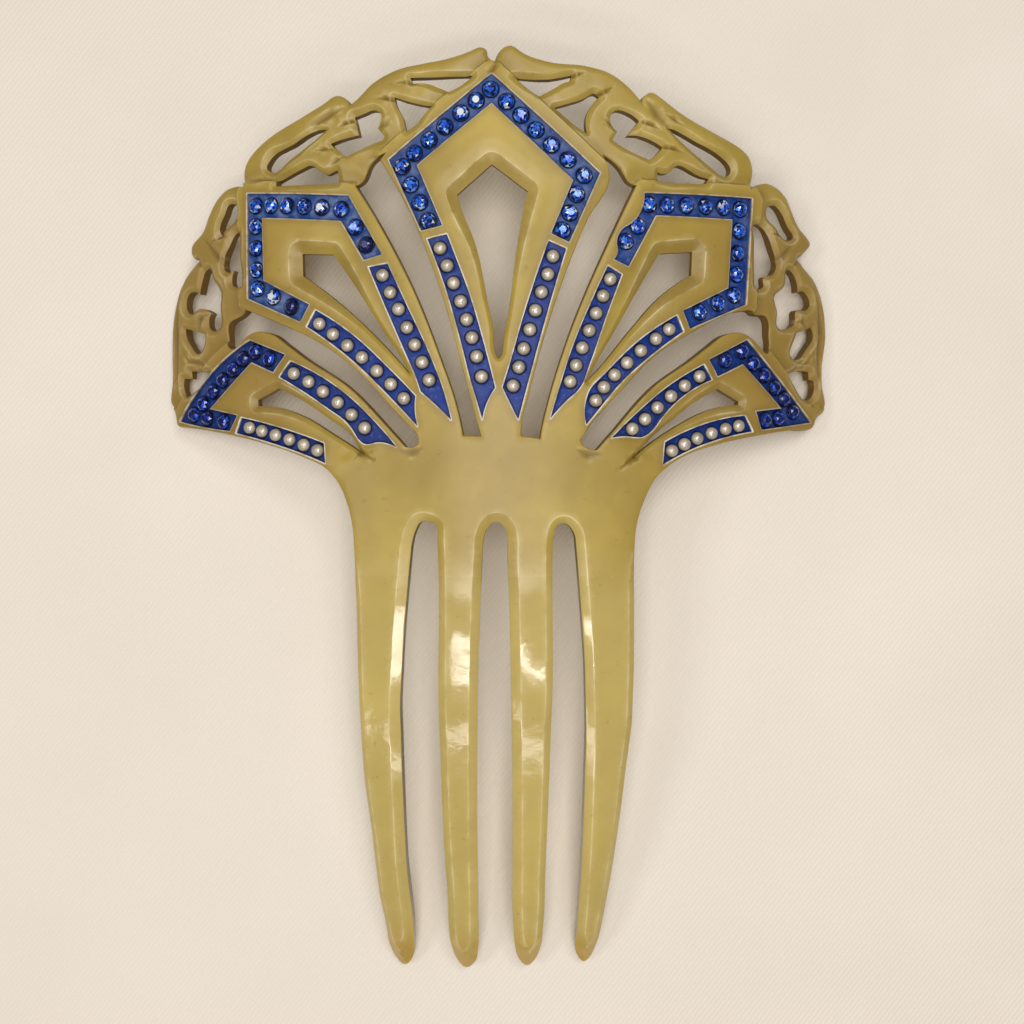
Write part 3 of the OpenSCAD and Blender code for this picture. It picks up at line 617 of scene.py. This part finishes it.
def facePlaces():
    through = [outline] + leaves + slots + openings
    taken = [np.vstack(through + list(channels.values()))]
    rings = []
    for ring in channels.values():
        rings += [(offsetPlaces(ring, comb["channelRound"]), 0.1), (offsetPlaces(ring, comb["gleamWidth"]), 0.2)]
    for ring in [outline] + slots:
        rings += [(offsetPlaces(ring, 0.12), 0.1), (offsetPlaces(ring, 0.38), 0.3)]
    rings += [(offsetPlaces(np.vstack(rimPaths), d), d * 0.8) for d in (0.45, 0.9, 1.4)]
    for ring in openings:
        width = handWidth(ring)
        rings += [(offsetPlaces(ring, 0.12), 0.1), (offsetPlaces(ring, width), 0.5),
                  (offsetPlaces(ring, width - 0.2), 0.3), (offsetPlaces(ring, width + 0.2), 0.6)]
    for ring in leaves:
        width = leafBevelWidth(ring)
        rings += [(offsetPlaces(ring, 0.12), 0.1), (offsetPlaces(ring, 0.3), 0.25),
                  (offsetPlaces(ring, width), 0.6), (offsetPlaces(ring, width - 0.2), 0.5),
                  (offsetPlaces(ring, width + 0.2), 0.8)]
    for ring in toothPaths:
        width = toothBevelWidth(ring) * (1 + 1.6 * ramp(-ring[:, 1], 89, 97))
        rings += [(offsetPlaces(ring, width), 0.5), (offsetPlaces(ring, width - 0.2), 0.4),
                  (offsetPlaces(ring, width + 0.2), 0.8)]
    far = nearest(trees["through"], np.vstack([p for p, _ in rings]))[0]
    farChannel = nearest(trees["channel"], np.vstack([p for p, _ in rings]))[0]
    first = 0
    kept = []
    for p, least in rings:
        ok = (far[first:first + len(p)] >= least) & (farChannel[first:first + len(p)] >= min(least, 0.12))
        kept.append(p[ok])
        first += len(p)
    lines = [row for hull in petals for row in stepRows(hull)]
    for line, widths, depth in carving:
        path = np.array(line)
        width = max(widths)
        steps = np.linspace(0, len(path) - 1, 7 * (len(path) - 1) + 1)
        along = np.stack([np.interp(steps, range(len(path)), path[:, k]) for k in (0, 1)], 1)
        side = leftNormals(along, False)[1]
        lines += [along, along + side * width * 0.5, along - side * width * 0.5,
                  along + side * width, along - side * width]
    lines = np.vstack(lines)
    lines = lines[(nearest(trees["through"], lines)[0] > 0.25) & (nearest(trees["channel"], lines)[0] > 0.2)]
    taken.append(thinned(np.vstack(kept + [lines]), 0.11, taken[0]))
    low, high = outline.min(0), outline.max(0)
    grid = hexGrid(low, high, comb["gridStep"])
    toFar = nearest(trees["through"], grid)[0]
    toChannel = nearest(trees["channel"], grid)[0]
    grid = grid[(toFar > 0.35) & (toChannel > 0.3)]
    grid = thinned(grid, 0.55, np.vstack(taken))
    return through, np.vstack([taken[1], grid])


def newMesh(name, places, faces, points, sides):
    # places that no face uses are left out
    used = sorted({i for face in faces for i in face})
    order = {old: new for new, old in enumerate(used)}
    data = bpy.data.meshes.new(name)
    data.from_pydata([tuple(places[i]) for i in used], [], [tuple(order[i] for i in face) for face in faces])
    for key, values in points.items():
        kept = np.asarray(values, np.float32)[used]
        data.attributes.new(key, "FLOAT", "POINT").data.foreach_set("value", kept)
    for key, values in sides.items():
        data.attributes.new(key, "FLOAT", "FACE").data.foreach_set("value", np.asarray(values, np.float32))
    piece = bpy.data.objects.new(name, data)
    bpy.context.collection.objects.link(piece)
    return piece


def smoothed(piece, degrees):
    bpy.ops.object.select_all(action="DESELECT")
    piece.select_set(True)
    bpy.context.view_layer.objects.active = piece
    bpy.ops.object.shade_smooth_by_angle(angle=math.radians(degrees))
    piece.select_set(False)


def buildBody():
    through, extra = facePlaces()
    loops = through + list(channels.values())
    front, frontTris = insideTriangles(loops, extra)
    cut, hollow, gleam, ridge = relief(front)
    u, v = front.T
    frontCo = toSheet(u, v, halfThick - cut)
    # the back has the same outlines and a rounded edge, and is otherwise plain
    ringBack = np.vstack([offsetPlaces(ring, 0.3) for ring in through])
    ringBack = ringBack[nearest(trees["through"], ringBack)[0] > 0.24]
    ringBack = thinned(ringBack, 0.2)
    low, high = outline.min(0), outline.max(0)
    grid = hexGrid(low, high, 2.4)
    grid = thinned(grid[nearest(trees["through"], grid)[0] > 0.7], 1.0, np.vstack(through + [ringBack]))
    back, backTris = insideTriangles(through, np.vstack([ringBack, grid]))
    backRise = rounded(nearest(trees["through"], back)[0], 0.3, 0.12)
    backCo = toSheet(back[:, 0], back[:, 1], -halfThick + backRise)
    places = [frontCo, backCo]
    faces = list(frontTris)
    # painted shade: 1 on the cut walls, 0.6 in the channels, 0 on the face and back
    side = [0.0] * len(frontTris)
    offset = len(front)
    faces += [(offset + a, offset + c, offset + b) for a, b, c in backTris]
    side += [0.0] * len(backTris)
    first = 0
    for ring in through:
        for i in range(len(ring)):
            a, b = first + i, first + (i + 1) % len(ring)
            faces.append((b, a, offset + a, offset + b))
            side.append(1.0)
        first += len(ring)
    offset += len(back)
    for ring in channels.values():
        floor, floorTris = insideTriangles([ring[::-1]], np.zeros((0, 2)))
        places.append(toSheet(floor[:, 0], floor[:, 1], np.full(len(floor), comb["channelFloor"])))
        faces += [(offset + a, offset + b, offset + c) for a, b, c in floorTris]
        side += [0.6] * len(floorTris)
        last = len(ring) - 1
        for i in range(len(ring)):
            j = (i + 1) % len(ring)
            faces.append((first + j, first + i, offset + last - i, offset + last - j))
            side.append(0.6)
        first += len(ring)
        offset += len(floor)
    places = np.vstack(places)
    rest = len(places) - len(front)
    pu, pv, _ = toChart(places)
    piece = newMesh(
        "combBody", places, faces,
        {
            "hollow": np.concatenate([hollow, np.zeros(rest)]),
            "gleam": np.concatenate([gleam, np.zeros(rest)]),
            "ridge": np.concatenate([ridge, np.zeros(rest)]),
            # browner and darker towards the sides of the fan: partly the horn's own tone, partly painted shade where
            # the sides turn from the light
            "brown": ramp(np.abs(pu), 26.0, 58.0) * ramp(-pv, -76.0, -56.0) * ramp(pv, 2.0, 14.0),
            "polish": ramp(-pv, 2.0, 16.0),
            # painted shade: towards the tips of the teeth
            "tip": ramp(-pv, 84.0, 97.0),
        },
        {"sawnSide": side},
    )
    print("body:", len(front), "places on the face,", len(faces), "faces")
    smoothed(piece, 38)
    return piece


body = buildBody()


# ---- materials
def linear(text):
    parts = [int(text[i:i + 2], 16) / 255 for i in (1, 3, 5)]
    return tuple(c / 12.92 if c <= 0.04045 else ((c + 0.055) / 1.055) ** 2.4 for c in parts) + (1.0,)


def addNode(tree, kind, settings={}, values={}, links={}):
    node = tree.nodes.new(kind)
    for key, value in settings.items():
        setattr(node, key, value)
    for key, value in values.items():
        node.inputs[key].default_value = value
    for key, source in links.items():
        tree.links.new(source, node.inputs[key])
    return node


def newMaterial(name):
    material = bpy.data.materials.new(name)
    material.use_nodes = True
    tree = material.node_tree
    tree.nodes.clear()
    return material, tree


def finished(material, tree, shader):
    addNode(tree, "ShaderNodeOutputMaterial", links={"Surface": shader.outputs[0]})
    return material


def rampNode(tree, source, stops):
    node = addNode(tree, "ShaderNodeValToRGB", links={"Fac": source})
    bar = node.color_ramp
    while len(bar.elements) < len(stops):
        bar.elements.new(0.5)
    for element, (at, colour) in zip(bar.elements, stops):
        element.position = at
        element.color = colour if len(colour) == 4 else (colour[0],) * 3 + (1,)
    return node


def mixColours(tree, share, a, b, blend="MIX"):
    node = addNode(tree, "ShaderNodeMix", {"data_type": "RGBA", "blend_type": blend})
    for key, value in ((0, share), (6, a), (7, b)):
        if hasattr(value, "links"):
            tree.links.new(value, node.inputs[key])
        else:
            node.inputs[key].default_value = value
    return node.outputs[2]


def attribute(tree, name):
    return addNode(tree, "ShaderNodeAttribute", {"attribute_name": name}).outputs["Fac"]


def maths(tree, operation, a, b):
    node = addNode(tree, "ShaderNodeMath", {"operation": operation, "use_clamp": True})
    for key, value in ((0, a), (1, b)):
        if hasattr(value, "links"):
            tree.links.new(value, node.inputs[key])
        else:
            node.inputs[key].default_value = value
    return node.outputs[0]


def noiseAt(tree, millimetres, detail=3.0, rough=0.55):
    # a noise whose blobs measure about that many millimetres
    coordinates = addNode(tree, "ShaderNodeTexCoord")
    return addNode(
        tree, "ShaderNodeTexNoise",
        values={"Scale": 1 / (millimetres * mm), "Detail": detail, "Roughness": rough},
        links={"Vector": coordinates.outputs["Object"]},
    ).outputs["Fac"]


def hornMaterial():
    # imitation horn celluloid: cloudy olive tan, satin on the fan, polished on the teeth
    horn = {
        "light": "#B8A148", "shade": "#998234", "sawn": "#5A4118", "dirt": "#5C4319",
        "edge": "#F8F3E6", "gold": "#B08A32", "brown": "#957A38", "ridge": "#EBDFB2", "pale": "#C8B778",
    }
    material, tree = newMaterial("celluloidHorn")
    cloud = rampNode(tree, noiseAt(tree, 22), [(0.3, (0.0,)), (0.7, (1.0,))]).outputs["Color"]
    colour = mixColours(tree, cloud, linear(horn["shade"]), linear(horn["light"]))
    patches = rampNode(tree, noiseAt(tree, 6, 3), [(0.42, (0.0,)), (0.66, (1.0,))]).outputs["Color"]
    colour = mixColours(tree, maths(tree, "MULTIPLY", patches, 0.3), colour, linear(horn["shade"]))
    colour = mixColours(tree, maths(tree, "MULTIPLY", attribute(tree, "polish"), 0.55), colour, linear(horn["pale"]))
    # the sides of the fan are painted browner and darker, part tone, part painted shade
    colour = mixColours(tree, maths(tree, "MULTIPLY", attribute(tree, "brown"), 0.8), colour, linear(horn["brown"]))
    fine = rampNode(tree, noiseAt(tree, 1.3, 3), [(0.26, (1.0,)), (0.34, (0.0,))]).outputs["Color"]
    colour = mixColours(tree, maths(tree, "MULTIPLY", fine, 0.25), colour, linear(horn["dirt"]))
    # dirt and painted shade in the hollows, grooves and bevels
    colour = mixColours(tree, maths(tree, "MULTIPLY", attribute(tree, "hollow"), 0.7), colour, linear(horn["dirt"]))
    # painted shade: the cut walls are coloured dark brown
    colour = mixColours(tree, maths(tree, "MULTIPLY", attribute(tree, "sawnSide"), 0.9), colour, linear(horn["sawn"]))
    # painted shade: the tips of the teeth, which bend down away from the light, are coloured a darker gold
    colour = mixColours(tree, maths(tree, "MULTIPLY", attribute(tree, "tip"), 0.6), colour, linear(horn["gold"]))
    # the painted highlight along the ridges, broken up by a rubbed-looking noise
    rubbed = rampNode(tree, noiseAt(tree, 5, 3), [(0.38, (0.1,)), (0.62, (1.0,))]).outputs["Color"]
    ridge = maths(tree, "MULTIPLY", attribute(tree, "ridge"), rubbed)
    colour = mixColours(tree, maths(tree, "MULTIPLY", ridge, 0.6), colour, linear(horn["ridge"]))
    # painted highlight along the channels' edges, broken up by a worn-looking noise
    worn = rampNode(tree, noiseAt(tree, 2.6, 3), [(0.38, (0.3,)), (0.55, (1.0,))]).outputs["Color"]
    gleam = maths(tree, "MULTIPLY", attribute(tree, "gleam"), worn)
    colour = mixColours(tree, gleam, colour, linear(horn["edge"]))
    # the polish of the teeth fades out unevenly towards the satin base
    blotches = maths(tree, "MULTIPLY", noiseAt(tree, 4, 3), 0.9)
    uneven = maths(tree, "MULTIPLY", attribute(tree, "polish"), maths(tree, "ADD", blotches, attribute(tree, "polish")))
    rough = addNode(
        tree, "ShaderNodeMapRange", values={"To Min": 0.5, "To Max": 0.1}, links={"Value": uneven},
    ).outputs[0]
    grain = addNode(
        tree, "ShaderNodeBump", values={"Strength": 0.12, "Distance": 0.0002},
        links={"Height": noiseAt(tree, 1.6, 3)},
    )
    shader = addNode(
        tree, "ShaderNodeBsdfPrincipled",
        values={
            "IOR": 1.5, "Subsurface Weight": 0.25, "Subsurface Radius": (1.0, 0.7, 0.3),
            "Subsurface Scale": 0.0018, "Coat Weight": 0.15, "Coat Roughness": 0.2,
        },
        links={"Base Color": colour, "Roughness": rough, "Normal": grain.outputs[0]},
    )
    return finished(material, tree, shader)


def lacquerMaterial():
    # brushed cobalt lacquer: saturated in the legs, dusty lilac in the worn bands, dark round the settings, where the
    # ring is part dark lacquer in the seat and part painted shadow
    lacquer = {"deep": "#042E8A", "worn": "#22478A", "seat": "#030818", "dusty": "#8494BA", "shade": "#081A44"}
    material, tree = newMaterial("cobaltLacquer")
    colour = mixColours(tree, attribute(tree, "haze"), linear(lacquer["deep"]), linear(lacquer["worn"]))
    cloud = rampNode(tree, noiseAt(tree, 3.2, 4), [(0.45, (0.0,)), (0.68, (1.0,))]).outputs["Color"]
    dusty = maths(tree, "MULTIPLY", cloud, attribute(tree, "haze"))
    colour = mixColours(tree, maths(tree, "MULTIPLY", dusty, 0.55), colour, linear(lacquer["dusty"]))
    rubbed = rampNode(tree, noiseAt(tree, 0.8, 4), [(0.56, (0.0,)), (0.7, (1.0,))]).outputs["Color"]
    colour = mixColours(tree, maths(tree, "MULTIPLY", rubbed, 0.22), colour, linear(lacquer["dusty"]))
    colour = mixColours(tree, attribute(tree, "shade"), colour, linear(lacquer["shade"]))
    # the dark ring round the settings, partly painted shadow
    colour = mixColours(tree, attribute(tree, "seat"), colour, linear(lacquer["seat"]))
    shader = addNode(
        tree, "ShaderNodeBsdfPrincipled",
        values={"Roughness": 0.42, "IOR": 1.45, "Specular IOR Level": 0.25},
        links={"Base Color": colour},
    )
    return finished(material, tree, shader)


def stoneMaterial():
    # cut and foiled blue glass: most facets are navy, and the light that a few throw back, clear blue or pale, is
    # painted into their colour as painted reflections
    glass = {"dark": "#041454", "blue": "#0C49D8", "bright": "#2F8BFF", "pale": "#EEFAFF"}
    material, tree = newMaterial("foiledGlass")
    colour = rampNode(tree, attribute(tree, "facetGlow"), [
        (0.0, linear(glass["dark"])), (0.4, linear(glass["dark"])), (0.55, linear(glass["blue"])),
        (0.85, linear(glass["bright"])), (0.97, linear(glass["pale"])),
    ]).outputs["Color"]
    shader = addNode(
        tree, "ShaderNodeBsdfPrincipled",
        values={"Metallic": 0.3, "Roughness": 0.18, "Coat Weight": 0.8, "Coat Roughness": 0.02},
        links={"Base Color": colour},
    )
    return finished(material, tree, shader)


def pearlMaterial():
    # imitation half pearl: greyish beige with a soft lustre, and painted shade that darkens it towards its rim
    pearl = {"middle": "#C9BFAF", "rim": "#5A4F42"}
    material, tree = newMaterial("pearlLustre")
    rimShade = addNode(tree, "ShaderNodeLayerWeight", values={"Blend": 0.5}).outputs["Facing"]
    cloud = rampNode(tree, noiseAt(tree, 2.4, 2), [(0.35, (0.0,)), (0.7, (0.3,))]).outputs["Color"]
    # painted shade: darker towards the rim as the dome turns from the view
    colour = mixColours(tree, maths(tree, "ADD", rimShade, cloud), linear(pearl["middle"]), linear(pearl["rim"]))
    shader = addNode(
        tree, "ShaderNodeBsdfPrincipled",
        values={
            "Roughness": 0.36, "IOR": 1.55, "Coat Weight": 1.0, "Coat Roughness": 0.04, "Coat IOR": 2.0,
            "Subsurface Weight": 0.15, "Subsurface Radius": (1.0, 0.9, 0.7), "Subsurface Scale": 0.0005,
        },
        links={"Base Color": colour},
    )
    return finished(material, tree, shader)


def clothMaterial():
    # plain pale cotton, a fine twill
    material, tree = newMaterial("paleCotton")
    coordinates = addNode(tree, "ShaderNodeTexCoord")
    turned = addNode(
        tree, "ShaderNodeMapping", values={"Rotation": (0, 0, math.radians(38))},
        links={"Vector": coordinates.outputs["Object"]},
    )
    twill = addNode(
        tree, "ShaderNodeTexWave", {"bands_direction": "X"},
        values={"Scale": math.pi / (10 * 0.9 * mm), "Distortion": 1.5, "Detail": 2.0, "Detail Scale": 3.0},
        links={"Vector": turned.outputs[0]},
    )
    cloud = rampNode(tree, noiseAt(tree, 60), [(0.3, (0.0,)), (0.7, (1.0,))]).outputs["Color"]
    colour = mixColours(tree, cloud, linear("#E6E0D6"), linear("#ECE6DD"))
    threads = maths(tree, "MULTIPLY", twill.outputs["Fac"], 0.1)
    colour = mixColours(tree, threads, colour, linear("#C9C0B2"))
    bump = addNode(
        tree, "ShaderNodeBump", values={"Strength": 0.4, "Distance": 0.0002},
        links={"Height": twill.outputs["Fac"]},
    )
    shader = addNode(
        tree, "ShaderNodeBsdfPrincipled", values={"Roughness": 0.9, "Specular IOR Level": 0.1},
        links={"Base Color": colour, "Normal": bump.outputs[0]},
    )
    return finished(material, tree, shader)


horn = hornMaterial()
cobalt = lacquerMaterial()
glassBlue = stoneMaterial()
pearlWhite = pearlMaterial()
cotton = clothMaterial()
body.data.materials.append(horn)
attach(body, "root")
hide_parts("body")
print("materials made")


# ---- stones and half pearls: their places come from the frame
def gemSeats(name):
    data = frame["nodes"][name].data
    mesh = bmesh.new()
    mesh.from_mesh(data)
    bmesh.ops.remove_doubles(mesh, verts=mesh.verts, dist=1e-6)
    seats = []
    left = set(mesh.verts)
    while left:
        group, todo = set(), [left.pop()]
        while todo:
            vert = todo.pop()
            group.add(vert)
            for edge in vert.link_edges:
                other = edge.other_vert(vert)
                if other in left:
                    left.discard(other)
                    todo.append(other)
        u, v, h = toChart([vert.co for vert in group])
        seats.append(((u.max() + u.min()) / 2, (v.max() + v.min()) / 2))
    mesh.free()
    return sorted(seats, key=lambda s: (round(s[1], 1), round(s[0], 1)))


gemNames = {kind: sorted(n for n in frame["nodes"] if n.startswith(kind)) for kind in ("stones", "pearls")}
seats = {name: gemSeats(name) for kind in gemNames for name in gemNames[kind]}
allSeats = [(s, 1.6 if name.startswith("stones") else 1.36) for name in seats for s in seats[name]]
enamelTop = comb["channelFloor"] + 0.2


def seatMatrix(u, v, height, spin, tilt=(0.0, 0.0)):
    turn = u / bendR
    place = Vector(toSheet(np.array([u]), np.array([v]), np.array([height]))[0])
    lean = Matrix.Rotation(tilt[0], 4, "X") @ Matrix.Rotation(tilt[1], 4, "Y")
    return Matrix.Translation(place) @ Matrix.Rotation(turn, 4, "Y") @ lean @ Matrix.Rotation(spin, 4, "Z")


def selectFaces(piece, wanted):
    bpy.ops.object.mode_set(mode="OBJECT")
    for part in (piece.data.vertices, piece.data.edges):
        for item in part:
            item.select = False
    for face in piece.data.polygons:
        face.select = bool(wanted(face))
    bpy.ops.object.mode_set(mode="EDIT")
    bpy.ops.mesh.select_mode(type="FACE")


def cutStone():
    # a round chaton: straight girdle, two rows of crown facets and a star round the table
    stone = {"radius": 1.55, "girdle": 0.35, "sides": 9, "tiers": ((0.5, 0.74, 20), (0.25, 0.62, 20))}
    bpy.ops.mesh.primitive_cylinder_add(
        vertices=stone["sides"], radius=stone["radius"] * mm, depth=stone["girdle"] * mm,
        location=(0, 0, stone["girdle"] / 2 * mm),
    )
    piece = bpy.context.object
    bpy.ops.object.transform_apply(location=True)
    top = stone["girdle"]
    for rise, size, spin in stone["tiers"]:
        height = top * mm
        selectFaces(piece, lambda face: face.normal.z > 0.9 and face.center.z > height - 1e-5)
        bpy.ops.mesh.extrude_region_move(TRANSFORM_OT_translate={"value": (0, 0, rise * mm)})
        top += rise
        bpy.ops.transform.resize(value=(size, size, 1), center_override=(0, 0, top * mm))
        bpy.ops.transform.rotate(value=math.radians(spin), orient_axis="Z", center_override=(0, 0, top * mm))
    bpy.ops.mesh.poke()
    bpy.ops.mesh.select_all(action="SELECT")
    bpy.ops.mesh.quads_convert_to_tris(quad_method="SHORTEST_DIAGONAL")
    bpy.ops.object.mode_set(mode="OBJECT")
    return piece


def halfPearl():
    pearl = {"radius": 1.36, "height": 1.2, "segments": 22, "rings": 14}
    bpy.ops.mesh.primitive_uv_sphere_add(
        segments=pearl["segments"], ring_count=pearl["rings"], radius=pearl["radius"] * mm, location=(0, 0, 0)
    )
    piece = bpy.context.object
    bpy.ops.object.mode_set(mode="EDIT")
    bpy.ops.mesh.select_all(action="SELECT")
    bpy.ops.mesh.bisect(plane_co=(0, 0, 0), plane_no=(0, 0, 1), clear_inner=True, use_fill=True)
    bpy.ops.mesh.select_all(action="SELECT")
    bpy.ops.transform.resize(value=(1, 1, pearl["height"] / pearl["radius"]), center_override=(0, 0, 0))
    bpy.ops.object.mode_set(mode="OBJECT")
    return piece


def joinedRow(name, pattern, matrices, glints):
    places, faces = [], []
    for matrix in matrices:
        first = len(places)
        places += [matrix @ vert.co for vert in pattern.data.vertices]
        faces += [tuple(first + i for i in face.vertices) for face in pattern.data.polygons]
    return newMesh(name, places, faces, {}, {"facetGlow": glints} if glints else {})


# Two stones have lost their foil and stay dark; a facet's painted glint is lifted to a power, so few are bright, and
# the tables of the flash stones are painted pale as a painted reflection
stoneLooks = {
    "dead": [(-26.4, 57.0), (-42.95, 45.3)],
    "flash": [(-7.15, 82.75), (-4.1, 85.2), (-36.0, 65.1), (-47.1, 47.5)],
    "brightness": 1.0,
    "wingShare": 0.66,
}
rng = random.Random(4)


def isOneOf(place, places):
    return any(math.hypot(place[0] - p[0], place[1] - p[1]) < 1.6 for p in places)


def facetGlow(place, pattern, strength):
    glints = []
    for face in pattern.data.polygons:
        share = strength * rng.random() ** stoneLooks["brightness"]
        onTable = math.hypot(face.center.x, face.center.y) < 0.55 * mm
        if isOneOf(place, stoneLooks["dead"]):
            share *= 0.4
        elif onTable:
            # painted reflection: a flash stone's table is painted pale
            share = 1.0 if isOneOf(place, stoneLooks["flash"]) else 0.3 * strength + 0.5 * share
        glints.append(share)
    return glints


def setRow(name, pattern, height, lean, material, paintGlints):
    kind = name.split("_")[0][:-1]
    matrices, glints = [], []
    for place in seats[name]:
        tilt = (rng.uniform(-lean, lean), rng.uniform(-lean, lean))
        matrices.append(seatMatrix(place[0], place[1], height, rng.uniform(0, 6.28), tilt))
        if paintGlints:
            glints += facetGlow(place, pattern, stoneLooks["wingShare"] if "wing" in name else 1.0)
    row = joinedRow(name.replace(kind + "s_", kind + "Row_"), pattern, matrices, glints)
    row.data.materials.append(material)
    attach(row, "root")
    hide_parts(name)
    return row


patternStone = cutStone()
for name in gemNames["stones"]:
    setRow(name, patternStone, enamelTop + 0.01, 0.06, glassBlue, True)
bpy.data.objects.remove(patternStone)
print("stones set")
patternPearl = halfPearl()
for name in gemNames["pearls"]:
    smoothed(setRow(name, patternPearl, enamelTop + 0.01, 0.04, pearlWhite, False), 50)
bpy.data.objects.remove(patternPearl)
print("half pearls set")


# ---- lacquer
# How dusty and how dark each field looks: worn bands above, clean legs, darker wings
fieldLooks = {
    "centre_band": (0.85, 0.0), "left_band": (1.0, 0.0), "right_band": (0.55, 0.1),
    "left_wing_band": (0.45, 0.35), "right_wing_band": (0.4, 0.3),
}
legLook = {"haze": 0.12, "dark": 0.05, "wingDark": 0.3}


def lacquerField(name, ring):
    ring = ring[::-1]
    ring = offsetPlaces(ring, 0.02)[:len(ring)]
    tree = ribbonTree([ring])
    low, high = ring.min(0), ring.max(0)
    inHere = [(np.array(s), r) for s, r in allSeats if np.all(np.array(s) > low) and np.all(np.array(s) < high)]
    seatRings = []
    for place, radius in inHere:
        for d in (-0.1, 0.03, 0.13, 0.3):
            turns = np.linspace(0, 2 * math.pi, 24, endpoint=False)
            seatRings.append(place + (radius + d) * np.stack([np.cos(turns), np.sin(turns)], 1))
    extra = [offsetPlaces(ring, 0.1), offsetPlaces(ring, 0.3), hexGrid(low, high, 0.8)]
    if seatRings:
        extra.insert(0, np.vstack(seatRings))
    extra = np.vstack(extra)
    extra = extra[nearest(tree, extra)[0] > 0.07]
    extra = thinned(extra, 0.09)
    places, tris = insideTriangles([ring], extra)
    away = nearest(tree, places)[0]
    gap = np.full(len(places), 9.0)
    for place, radius in inHere:
        gap = np.minimum(gap, np.linalg.norm(places - place, axis=1) - radius)
    height = enamelTop + 0.1 * np.clip(1 - away / 0.3, 0, 1) ** 2
    height -= 0.12 * np.clip(1 - np.abs(gap - 0.05) / 0.14, 0, 1)
    height += np.array([0.03 * noise.noise((p[0] * 0.8, p[1] * 0.8, 3.0)) for p in places])
    # a dark ring round each stone and pearl: the dark lacquer of the drilled seat and a painted shadow
    seat = np.clip(1 - (gap - 0.1) / 0.24, 0, 1)
    # painted shade along the channel's walls, added to each field's own darkness
    wall = 0.55 * np.clip(1 - away / 0.9, 0, 1)
    count = len(ring)
    top = toSheet(places[:, 0], places[:, 1], height)
    bottom, bottomTris = insideTriangles([ring], np.zeros((0, 2)))
    under = toSheet(bottom[:, 0], bottom[:, 1], np.full(len(bottom), comb["channelFloor"] + 0.01))
    faces = list(tris) + [(len(top) + a, len(top) + c, len(top) + b) for a, b, c in bottomTris]
    for i in range(count):
        j = (i + 1) % count
        faces.append((j, i, len(top) + i, len(top) + j))
    dark = legLook["wingDark"] if "wing" in name else legLook["dark"]
    haze, dark = fieldLooks.get(name.replace("lacquer_", ""), (legLook["haze"], dark))
    rest = np.zeros(len(under))
    piece = newMesh(
        name.replace("lacquer_", "lacquerField_"), np.vstack([top, under]), faces,
        {
            "seat": np.concatenate([seat, rest]),
            "haze": np.full(len(top) + len(under), haze),
            "shade": np.concatenate([np.clip(wall + dark, 0, 1), rest]),
        },
        {},
    )
    smoothed(piece, 40)
    piece.data.materials.append(cobalt)
    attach(piece, "root")
    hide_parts(name)
    return len(faces)


total = sum(lacquerField(name, ring) for name, ring in channels.items())
print("lacquer brushed in:", total, "faces")


# ---- floor and light
def addFloor():
    bpy.ops.mesh.primitive_grid_add(x_subdivisions=8, y_subdivisions=8, size=4)
    floor = bpy.context.object
    floor.name = "floor"
    floor.location.z = -0.00005
    bpy.ops.object.transform_apply(location=True, scale=True)
    floor.data.materials.append(cotton)
    floor.select_set(False)


def addLight(name, place, size, power, colour, towards=(0, 0, 0)):
    data = bpy.data.lights.new(name, "AREA")
    data.shape = "RECTANGLE"
    data.size, data.size_y = size
    data.energy = power
    data.color = linear(colour)[:3]
    lamp = bpy.data.objects.new(name, data)
    lamp.location = place
    lamp.rotation_euler = (Vector(place) - Vector(towards)).to_track_quat("Z", "Y").to_euler()
    bpy.context.collection.objects.link(lamp)


def addWorld():
    world = bpy.data.worlds.new("softRoom")
    world.use_nodes = True
    world.node_tree.nodes["Background"].inputs[0].default_value = linear("#F3EFEA")
    world.node_tree.nodes["Background"].inputs[1].default_value = 0.16
    bpy.context.scene.world = world


addFloor()
addWorld()
addLight("overhead", (0.0, 0.02, 0.62), (0.26, 0.26), 1.75, "#FFF8F0")
addLight("softTop", (0.1, 0.3, 1.2), (1.6, 1.2), 0.6, "#FFF8F0")
addLight("stripNear", (0.0, -0.38, 1.0), (0.5, 0.05), 1.7, "#FFF8F0")
addLight("stripFar", (-0.1, -0.7, 1.0), (1.1, 0.06), 1.9, "#FFF8F0")
addLight("lampLeft", (-0.73, 0.1, 1.0), (0.34, 0.3), 2.1, "#FFFBF6")
addLight("lampRight", (0.29, 0.42, 1.0), (0.3, 0.27), 1.9, "#FFFBF6")
bpy.context.scene.view_settings.view_transform = "Standard"
print("floor and light set")
